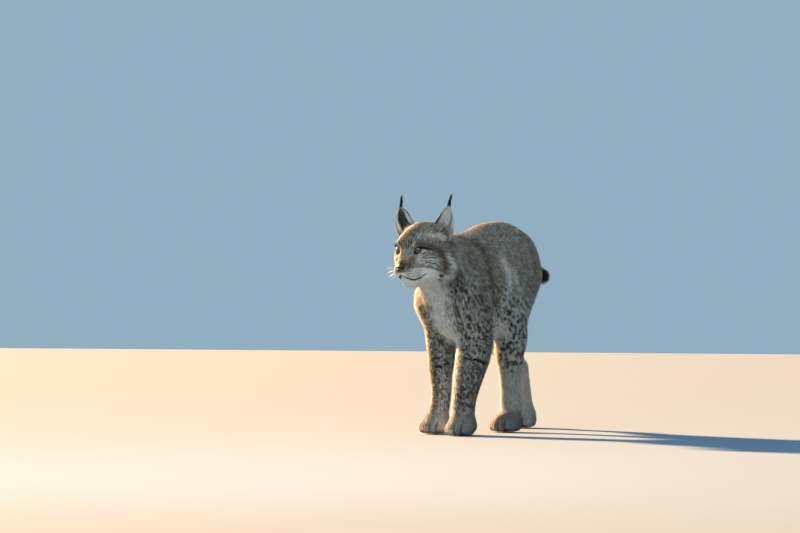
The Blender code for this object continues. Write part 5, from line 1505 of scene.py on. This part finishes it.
def grow_ears(skin, material):
    """The ears: short hair on their backs, pale hair across the cup, black tufts at the tips."""
    rng = np.random.default_rng(9)
    pieces = []
    for s, side in ((LEFT, "left"), (RIGHT, "right")):
        grid_t, grid_w = np.meshgrid(np.linspace(0, 0.99, 46), np.linspace(0, 1, 25), indexing="ij")
        sheet = np.array([ear_sheet(t, w, s) for t, w in zip(grid_t.ravel(), grid_w.ravel())])
        up = np.array([unit(ear_sheet(min(t + 0.03, 1), w, s) - ear_sheet(max(t - 0.03, 0), w, s)) for t, w in zip(grid_t.ravel(), grid_w.ravel())])
        across = np.array([ear_sheet(t, min(w + 0.04, 1), s) - ear_sheet(t, max(w - 0.04, 0), s) for t, w in zip(grid_t.ravel(), grid_w.ravel())])
        across = units(across)

        def to_head(p):
            f, l, u = head_frame(p)
            return np.stack((f, l * s, u), axis=1)

        def on_this(p):
            q = to_head(p)
            high = (q[:, 2] > -0.02) & (q[:, 0] < -0.05) & (q[:, 1] > 0.0)
            return high & (body(p) + coat_depth(p) > 0.0011)

        def density_at(p, n):
            return on_this(p) * 1500000.0

        root, normal, _ = sample(skin.data, density_at, rng, 24000)
        q = to_head(root)
        near = near_root(sheet, q)
        t, w = grid_t.ravel()[near], grid_w.ravel()[near]
        nq = np.stack((normal @ HEAD_F, normal @ HEAD_L * s, normal @ HEAD_U), axis=1)
        back = (nq @ EAR_BACK) > 0.0
        upq, acq = up[near], across[near]
        inner = 1 - rise(w, 0.12, 0.50)
        outer = rise(w, 0.70, 0.95)
        edge = np.maximum(1 - rise(w, 0.03, 0.12), rise(w, 0.88, 0.97))
        dirs = np.where(back[:, None], upq + 0.25 * acq * (w - 0.5)[:, None],
                        upq + (acq * (0.75 * inner - 0.45 * outer)[:, None] - EAR_BACK * (0.15 * inner)[:, None]) * (1 - 0.9 * edge)[:, None])
        length = np.where(back, 0.0062, 0.0060 + 0.0115 * inner * (1 - edge) + 0.0040 * outer * (1 - edge)) * (1 - 0.35 * rise(t, 0.6, 1.0))
        length *= rng.uniform(0.7, 1.15, len(root))
        lie = np.radians(np.where(back, 10.0, 12 + 8 * inner * (1 - edge))) * rng.uniform(0.8, 1.2, len(root))
        keep = rng.random(len(root)) < np.where(back, 1.0, 0.55 + 0.45 * np.maximum(inner, outer))
        way = from_head(np.stack((dirs[:, 0], dirs[:, 1] * s, dirs[:, 2]), axis=1))
        way -= (way * normal).sum(1, keepdims=True) * normal
        way = units(way)
        a = rng.normal(0, 0.18, len(root))[:, None]
        way = units(way * np.cos(a) + np.cross(normal, way) * np.sin(a))
        # colours: black edge and tip behind, a pale patch in the middle; pale inside with a dark line within the outer
        # rim, that line being painted shade in the cup. Both edges are also paled and warmed with painted sunlit rim
        # light.
        patch = np.exp(-(((t - 0.36) / 0.20) ** 2 + ((w - 0.52) / 0.26) ** 2))
        dark_back = np.clip(0.95 - 0.85 * patch - 0.55 * (1 - rise(t, 0.02, 0.15)), 0, 1)
        # painted sunlit rim: the inner and outer edges of the ear, paled and warmed below
        rim = np.maximum(rise(w, 0.93, 0.98), 1 - rise(w, 0.02, 0.07))
        # the hollow of the cup is darkened with painted shade: more of it shows in the ear that is turned away; the
        # black tip added after it is the ear's own colour
        if s < 0:
            front_dark_and_shade = np.maximum(hump(w, 0.40, 0.46, 0.86, 0.91) * rise(t, 0.05, 0.14), hump(w, 0.20, 0.28, 0.86, 0.91) * rise(t, 0.52, 0.64))
        else:
            front_dark_and_shade = np.maximum(0.85 * np.exp(-(((w - 0.79) / 0.07) ** 2)) * rise(t, 0.12, 0.30), 0.85 * (1 - rise(w, 0.07, 0.13)) * rise(t, 0.08, 0.25))
        front_dark_and_shade = np.clip(np.maximum(front_dark_and_shade, rise(t, 0.86, 0.94)), 0, 1)
        rooted = (1 - rise(t, 0.16, 0.34)) * rise(w, 0.55, 0.75)
        dark = np.where(back, dark_back * (1 - 0.6 * rim * (1 - rise(t, 0.75, 0.9))), front_dark_and_shade)
        pale = np.where(back, 0.35 * patch + 0.5 * rim, 1 - 0.65 * rooted)
        warm = np.where(back, 0.4 * rim + 0.25 * (1 - rise(t, 0.02, 0.2)), 0.3 * rim)
        mark = np.clip(np.stack((pale, 0 * pale, warm, dark), axis=1), 0, 1)
        width = np.clip(0.07 * length, 0.00048, 0.0008)
        locks = np.zeros(len(root), bool)

        # the tuft: long black locks from the last part of the ear, drawing together to a point
        k = 260
        tt, ww = rng.uniform(0.89, 0.985, k), rng.uniform(0.10, 0.90, k)
        base = np.array([ear_sheet(a, b, s) for a, b in zip(tt, ww)])
        aim = EAR_TUFT + v3(0, 0.005 if s > 0 else -0.003, 0.001) + rng.normal(0, 1, (k, 3)) * v3(0.0007, 0.0007, 0.0010)
        d = aim - base
        tuft_len = np.linalg.norm(d, axis=1) * (0.30 + 0.70 * rng.random(k) ** 0.8)
        off = from_head(np.stack((d[:, 0], d[:, 1] * s, d[:, 2]), axis=1))
        tuft_n = units(np.cross(units(off), rng.normal(0, 1, (k, 3))))
        base_w = np.array([head_point(b[0], s * b[1], b[2]) for b in base])
        tuft_way = units(off)
        root = np.concatenate((root[keep], base_w))
        normal = np.concatenate((normal[keep], tuft_n))
        way = np.concatenate((way[keep], tuft_way))
        lie = np.concatenate((lie[keep], np.full(k, math.radians(2.0))))
        length = np.concatenate((length[keep], tuft_len))
        width = np.concatenate((width[keep], np.full(k, 0.0009)))
        locks = np.concatenate((locks[keep], np.ones(k, bool)))
        black = np.tile(np.array((0.0, 0.0, 0.0, 1.0)), (k, 1))
        mark = np.concatenate((mark[keep], black))
        marks = np.repeat(mark[:, None], 3, axis=1)
        seeds = rng.random((len(root), 2))
        seeds[-k:, 0] *= 0.5
        flat = np.where(np.concatenate((back[keep], np.ones(k, bool))), 0.0, 0.5)
        where = np.stack((np.concatenate((w[keep], ww)) * 0.48 + flat * 1.0 + 0.006, np.concatenate((t[keep], tt)) * 0.97 + 0.01), axis=1)
        where = np.clip(where, 0.003, 0.994)
        parts = tufts(root, normal, way, lie, length, width, locks, marks, seeds)
        pieces.append(build_coat("coat_ear_" + side, parts, seeds, where, material))
        print("ear", side, len(root))
    return pieces


# ------------------------------------------------------------- materials
def new_material(name):
    mat = bpy.data.materials.new(name)
    mat.use_nodes = True
    return mat, mat.node_tree.nodes, mat.node_tree.links, mat.node_tree.nodes["Principled BSDF"]


def node(nodes, kind, **values):
    n = nodes.new(kind)
    for key, value in values.items():
        setattr(n, key, value)
    return n


def ramp(nodes, stops):
    n = nodes.new("ShaderNodeValToRGB")
    e = n.color_ramp.elements
    while len(e) > 1:
        e.remove(e[-1])
    e[0].position, e[0].color = stops[0][0], (*stops[0][1], 1)
    for at, colour in stops[1:]:
        e.new(at).color = (*colour, 1)
    return n


def mix(nodes, links, factor, a, b, kind="MIX"):
    n = nodes.new("ShaderNodeMix")
    n.data_type, n.blend_type = "RGBA", kind
    for socket, value in ((n.inputs["Factor"], factor), (n.inputs["A"], a), (n.inputs["B"], b)):
        if hasattr(value, "links") or hasattr(value, "is_linked"):
            links.new(value, socket)
        elif isinstance(value, tuple):
            socket.default_value = (*value, 1)
        else:
            socket.default_value = value
    return n.outputs["Result"]


def mathn(nodes, links, kind, a, b=0.0, c=None, clamp=False):
    n = nodes.new("ShaderNodeMath")
    n.operation, n.use_clamp = kind, clamp
    for i, value in enumerate((a, b) if c is None else (a, b, c)):
        if hasattr(value, "is_linked"):
            links.new(value, n.inputs[i])
        else:
            n.inputs[i].default_value = value
    return n.outputs[0]


GRIZZLE = ((0.0, (0.034, 0.026, 0.019)), (0.30, (0.112, 0.090, 0.066)), (0.55, (0.272, 0.232, 0.178)), (0.80, (0.450, 0.400, 0.325)), (1.0, (0.270, 0.232, 0.180)))
WARM = ((0.0, (0.030, 0.018, 0.010)), (0.40, (0.105, 0.064, 0.035)), (0.75, (0.240, 0.158, 0.092)), (1.0, (0.150, 0.096, 0.056)))
PALE = ((0.0, (0.400, 0.380, 0.345)), (0.45, (0.690, 0.675, 0.640)), (1.0, (0.880, 0.870, 0.840)))
SPOT = (0.017, 0.012, 0.009)
BLACK = (0.006, 0.005, 0.005)


def coat_colour(nodes, links, value):
    """The coat's colour from its marks: value runs from the dark under-hair to the tips."""
    marks = node(nodes, "ShaderNodeAttribute", attribute_name="marks")
    part = nodes.new("ShaderNodeSeparateColor")
    links.new(marks.outputs["Color"], part.inputs["Color"])
    pale, spot, warm = part.outputs
    shades = []
    for stops in (GRIZZLE, WARM, PALE):
        r = ramp(nodes, stops)
        links.new(value, r.inputs["Fac"])
        shades.append(r.outputs["Color"])
    c = mix(nodes, links, mathn(nodes, links, "MULTIPLY", warm, 0.85), shades[0], shades[1])
    c = mix(nodes, links, pale, c, shades[2])
    c = mix(nodes, links, spot, c, SPOT)
    return mix(nodes, links, marks.outputs["Alpha"], c, BLACK)


def coat_material():
    mat, nodes, links, shader = new_material("coat")
    strand = node(nodes, "ShaderNodeAttribute", attribute_name="strand")
    part = nodes.new("ShaderNodeSeparateColor")
    links.new(strand.outputs["Color"], part.inputs["Color"])
    along, seed, fine = part.outputs
    coords = nodes.new("ShaderNodeTexCoord")
    cloud = node(nodes, "ShaderNodeTexNoise")
    cloud.inputs["Scale"].default_value = 120.0
    cloud.inputs["Detail"].default_value = 2.0
    links.new(coords.outputs["Object"], cloud.inputs["Vector"])
    value = mathn(nodes, links, "MULTIPLY_ADD", along, 0.62, 0.08)
    value = mathn(nodes, links, "MULTIPLY_ADD", seed, 0.46, value)
    shift = mathn(nodes, links, "MULTIPLY_ADD", cloud.outputs["Fac"], 0.80, -0.50)
    value = mathn(nodes, links, "ADD", value, shift, clamp=True)
    colour = coat_colour(nodes, links, value)
    dim = mathn(nodes, links, "MULTIPLY_ADD", fine, 0.34, 0.80)
    colour = mix(nodes, links, 1.0, colour, dim, "MULTIPLY")
    links.new(colour, shader.inputs["Base Color"])
    shader.inputs["Roughness"].default_value = 0.66
    shader.inputs["Specular IOR Level"].default_value = 0.28
    shader.inputs["Sheen Weight"].default_value = 0.6
    shader.inputs["Sheen Roughness"].default_value = 0.30
    return mat


def skin_material():
    mat, nodes, links, shader = new_material("skin")
    coords = nodes.new("ShaderNodeTexCoord")
    hair = node(nodes, "ShaderNodeTexNoise")
    hair.inputs["Scale"].default_value = 420.0
    hair.inputs["Detail"].default_value = 4.0
    hair.inputs["Roughness"].default_value = 0.65
    links.new(coords.outputs["Object"], hair.inputs["Vector"])
    value = mathn(nodes, links, "MULTIPLY_ADD", hair.outputs["Fac"], 0.7, 0.02, clamp=True)
    links.new(coat_colour(nodes, links, value), shader.inputs["Base Color"])
    bump = nodes.new("ShaderNodeBump")
    bump.inputs["Strength"].default_value = 0.5
    bump.inputs["Distance"].default_value = 0.0006
    links.new(hair.outputs["Fac"], bump.inputs["Height"])
    links.new(bump.outputs["Normal"], shader.inputs["Normal"])
    shader.inputs["Roughness"].default_value = 0.8
    shader.inputs["Specular IOR Level"].default_value = 0.2
    return mat


def eye_material():
    """Pupil, ringed iris and dark rim, by the angle from the eye's own axis."""
    mat, nodes, links, shader = new_material("eye")
    coords = nodes.new("ShaderNodeTexCoord")
    split = nodes.new("ShaderNodeSeparateXYZ")
    links.new(coords.outputs["Object"], split.inputs["Vector"])
    x, y, z = split.outputs
    radius = mathn(nodes, links, "SQRT", mathn(nodes, links, "ADD", mathn(nodes, links, "MULTIPLY", x, x), mathn(nodes, links, "MULTIPLY", y, y)))
    behind = mathn(nodes, links, "LESS_THAN", z, 0.0)
    radius = mathn(nodes, links, "ADD", radius, mathn(nodes, links, "MULTIPLY", behind, 0.05))
    angle = mathn(nodes, links, "ARCTAN2", y, x)
    place = nodes.new("ShaderNodeCombineXYZ")
    links.new(mathn(nodes, links, "MULTIPLY", mathn(nodes, links, "COSINE", angle), 3.2), place.inputs["X"])
    links.new(mathn(nodes, links, "MULTIPLY", mathn(nodes, links, "SINE", angle), 3.2), place.inputs["Y"])
    links.new(mathn(nodes, links, "MULTIPLY", radius, 55.0), place.inputs["Z"])
    rays = node(nodes, "ShaderNodeTexNoise")
    rays.inputs["Scale"].default_value = 7.0
    rays.inputs["Detail"].default_value = 3.0
    links.new(place.outputs["Vector"], rays.inputs["Vector"])
    wobble = mathn(nodes, links, "MULTIPLY_ADD", rays.outputs["Fac"], 0.0012, -0.0006)
    r = mathn(nodes, links, "MULTIPLY", mathn(nodes, links, "ADD", radius, wobble), 1 / 0.0135, clamp=True)
    ring = ramp(nodes, ((0.0, (0.004, 0.004, 0.004)), (0.140, (0.004, 0.004, 0.004)), (0.175, (0.13, 0.085, 0.045)),
                        (0.28, (0.085, 0.060, 0.035)), (0.42, (0.128, 0.096, 0.062)), (0.52, (0.080, 0.056, 0.034)), (0.575, (0.065, 0.043, 0.026)), (0.62, (0.012, 0.009, 0.007)), (1.0, (0.008, 0.006, 0.005))))
    links.new(r, ring.inputs["Fac"])
    light = mathn(nodes, links, "MULTIPLY_ADD", rays.outputs["Fac"], 1.1, 0.45)
    links.new(mix(nodes, links, 1.0, ring.outputs["Color"], light, "MULTIPLY"), shader.inputs["Base Color"])
    shader.inputs["Roughness"].default_value = 0.30
    shader.inputs["Specular IOR Level"].default_value = 0.25
    shader.inputs["Coat Weight"].default_value = 0.5
    shader.inputs["Coat Roughness"].default_value = 0.02
    return mat


def nose_material():
    mat, nodes, links, shader = new_material("nose")
    coords = nodes.new("ShaderNodeTexCoord")
    cells = node(nodes, "ShaderNodeTexVoronoi")
    cells.inputs["Scale"].default_value = 900.0
    links.new(coords.outputs["Object"], cells.inputs["Vector"])
    cloud = node(nodes, "ShaderNodeTexNoise")
    cloud.inputs["Scale"].default_value = 160.0
    cloud.inputs["Detail"].default_value = 4.0
    links.new(coords.outputs["Object"], cloud.inputs["Vector"])
    shade = ramp(nodes, ((0.30, (0.020, 0.010, 0.007)), (0.52, (0.050, 0.025, 0.017)), (0.75, (0.095, 0.050, 0.034))))
    links.new(cloud.outputs["Fac"], shade.inputs["Fac"])
    # painted shade: the leather darkens towards the grooves between its cells
    groove_shade = mathn(nodes, links, "MULTIPLY_ADD", cells.outputs["Distance"], -0.5, 1.1)
    links.new(mix(nodes, links, 1.0, shade.outputs["Color"], groove_shade, "MULTIPLY"), shader.inputs["Base Color"])
    bump = nodes.new("ShaderNodeBump")
    bump.inputs["Strength"].default_value = 0.6
    bump.inputs["Distance"].default_value = 0.0003
    bump.invert = True
    links.new(cells.outputs["Distance"], bump.inputs["Height"])
    links.new(bump.outputs["Normal"], shader.inputs["Normal"])
    shader.inputs["Roughness"].default_value = 0.42
    return mat


def lid_material():
    mat, nodes, links, shader = new_material("lids")
    coords = nodes.new("ShaderNodeTexCoord")
    cloud = node(nodes, "ShaderNodeTexNoise")
    cloud.inputs["Scale"].default_value = 500.0
    links.new(coords.outputs["Object"], cloud.inputs["Vector"])
    shade = ramp(nodes, ((0.3, (0.008, 0.007, 0.006)), (0.7, (0.028, 0.022, 0.019))))
    links.new(cloud.outputs["Fac"], shade.inputs["Fac"])
    links.new(shade.outputs["Color"], shader.inputs["Base Color"])
    bump = nodes.new("ShaderNodeBump")
    bump.inputs["Strength"].default_value = 0.4
    bump.inputs["Distance"].default_value = 0.0002
    links.new(cloud.outputs["Fac"], bump.inputs["Height"])
    links.new(bump.outputs["Normal"], shader.inputs["Normal"])
    shader.inputs["Roughness"].default_value = 0.42
    return mat


def whisker_material():
    mat, nodes, links, shader = new_material("whisker")
    coords = nodes.new("ShaderNodeTexCoord")
    cloud = node(nodes, "ShaderNodeTexNoise")
    cloud.inputs["Scale"].default_value = 60.0
    links.new(coords.outputs["Object"], cloud.inputs["Vector"])
    shade = ramp(nodes, ((0.35, (0.62, 0.58, 0.52)), (0.65, (0.86, 0.84, 0.80))))
    links.new(cloud.outputs["Fac"], shade.inputs["Fac"])
    links.new(shade.outputs["Color"], shader.inputs["Base Color"])
    shader.inputs["Roughness"].default_value = 0.35
    return mat


# ------------------------------------------------------------- the pieces
def main():
    skin = make_skin()
    for s in (LEFT, RIGHT):
        ear = ear_shell(s)
        mod = skin.modifiers.new("ear", "BOOLEAN")
        mod.operation, mod.solver, mod.object = "UNION", "EXACT", ear
        apply_modifiers(skin)
        bpy.data.objects.remove(ear)
    shade_smooth(skin)

    coat = coat_material()
    pieces = grow_coat(skin, coat, BUDGET) + grow_ears(skin, coat)

    p, n = points_of(skin.data), normals_of(skin.data)
    marks = markings(p + n * coat_depth(p)[:, None], n)
    marks[:, 1] *= 0.6
    q = np.stack(head_frame(p), axis=1)
    ear = (body(p) + coat_depth(p) > 0.0012) & (p[:, 2] > 0.5) & (q[:, 0] < -0.05)
    front = (np.stack((n @ HEAD_F, n @ HEAD_L * np.sign(q[:, 1]), n @ HEAD_U), axis=1) @ EAR_BACK) < 0
    # skin of the ears: pale in front, black behind; the front of the right ear, turned away, is darkened with painted
    # shade in its cup
    marks[ear & front] = (0.55, 0, 0.25, 0.15)
    marks[ear & front & (p @ HEAD_L < v3(*EYE_MID) @ HEAD_L)] = (0.20, 0, 0.25, 0.65)
    marks[ear & ~front] = (0.05, 0, 0.2, 0.8)
    layer = skin.data.attributes.new("marks", "FLOAT_COLOR", "POINT")
    layer.data.foreach_set("color", marks.astype(np.float32).ravel())
    skin.data.materials.clear()
    skin.data.materials.append(skin_material())

    eye_mat, lid_mat = eye_material(), lid_material()
    others = {}
    for s, side in ((LEFT, "left"), (RIGHT, "right")):
        others["eye_" + side] = eyeball(s)
        others["eye_" + side].data.materials.append(eye_mat)
        lid = lid_ring(s)
        shade_smooth(lid)
        lid.data.materials.append(lid_mat)
        others["lid_" + side] = lid
    nose = nose_pad()
    nose.data.materials.append(nose_material())
    hairs = whiskers()
    hairs.data.materials.append(whisker_material())
    for ob in [skin, nose, hairs] + [others[k] for k in others if k.startswith("lid")]:
        ob.data.transform(Matrix.Translation(SHIFT))
        ob.data.update()
    for k in ("eye_left", "eye_right"):
        others[k].matrix_world = Matrix.Translation(SHIFT) @ others[k].matrix_world

    flesh = [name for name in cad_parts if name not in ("eye_left", "eye_right", "nose")]
    for ob in pieces + [skin, nose, hairs] + list(others.values()):
        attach(ob, "root")
    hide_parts(*flesh)
    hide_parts("eye_left")
    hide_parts("eye_right")
    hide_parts("nose")


BUDGET = 1290000


def area_light(name, at, aim, size, power, colour):
    light = bpy.data.lights.new(name, "AREA")
    light.shape, light.size, light.energy, light.color = "DISK", size, power, colour
    ob = bpy.data.objects.new(name, light)
    collection.objects.link(ob)
    at, aim = Vector(at), Vector(aim)
    ob.location = at
    ob.rotation_mode = "QUATERNION"
    ob.rotation_quaternion = (aim - at).to_track_quat("-Z", "Y")
    return ob


def stage():
    """A plain pale floor, soft light and the camera of the photograph."""
    floor = bpy.data.meshes.new("floor")
    floor.from_pydata([(-14, -14, 0), (14, -14, 0), (14, 14, 0), (-14, 14, 0)], [], [(0, 1, 2, 3)])
    ground = bpy.data.objects.new("floor", floor)
    collection.objects.link(ground)
    mat, nodes, links, shader = new_material("floor")
    shader.inputs["Base Color"].default_value = (0.155, 0.240, 0.345, 1)
    shader.inputs["Roughness"].default_value = 0.9
    floor.materials.append(mat)

    world = bpy.data.worlds.new("studio")
    bpy.context.scene.world = world
    world.use_nodes = True
    sky = world.node_tree.nodes["Background"]
    sky.inputs["Color"].default_value = (0.54, 0.81, 1.0, 1)
    sky.inputs["Strength"].default_value = 0.53
    bpy.context.scene.view_settings.view_transform = "Standard"

    a = math.radians(26.0)
    ahead, right = v3(-math.sin(a), math.cos(a), 0), v3(math.cos(a), math.sin(a), 0)
    area_light("key", -ahead * 3.1 - right * 1.1 + v3(0, 0, 2.35), (0, 0, 0.32), 2.2, 51, (0.79, 0.95, 1.0))
    sun = bpy.data.lights.new("low sun", "SUN")
    sun.energy, sun.angle, sun.color = 26.0, math.radians(4), (1.0, 0.56, 0.25)
    low_sun = bpy.data.objects.new("low sun", sun)
    collection.objects.link(low_sun)
    low_sun.rotation_mode = "QUATERNION"
    low_sun.rotation_quaternion = Vector(-ahead * 0.68 + right * 0.66 - v3(0, 0, 0.36)).to_track_quat("-Z", "Y")

    camera = bpy.data.cameras.new("camera")
    ob = bpy.data.objects.new("camera", camera)
    collection.objects.link(ob)
    focal = 3685.0                                  # in widths of a picture 800 across
    ob.location = Vector((math.sin(a) * 11.0 + SHIFT[0], -math.cos(a) * 11.0 + SHIFT[1], 0.41))
    yaw, pitch = math.atan((483 - 400) / focal), math.atan((295 - 266.5) / focal)
    look = ahead * math.cos(yaw) - right * math.sin(yaw)
    look = Vector((look[0] * math.cos(pitch), look[1] * math.cos(pitch), math.sin(pitch)))
    ob.rotation_mode = "QUATERNION"
    ob.rotation_quaternion = look.to_track_quat("-Z", "Y")
    camera.sensor_width, camera.lens = 36.0, focal / 800 * 36.0
    camera.clip_end = 60.0
    bpy.context.scene.camera = ob


main()
stage()
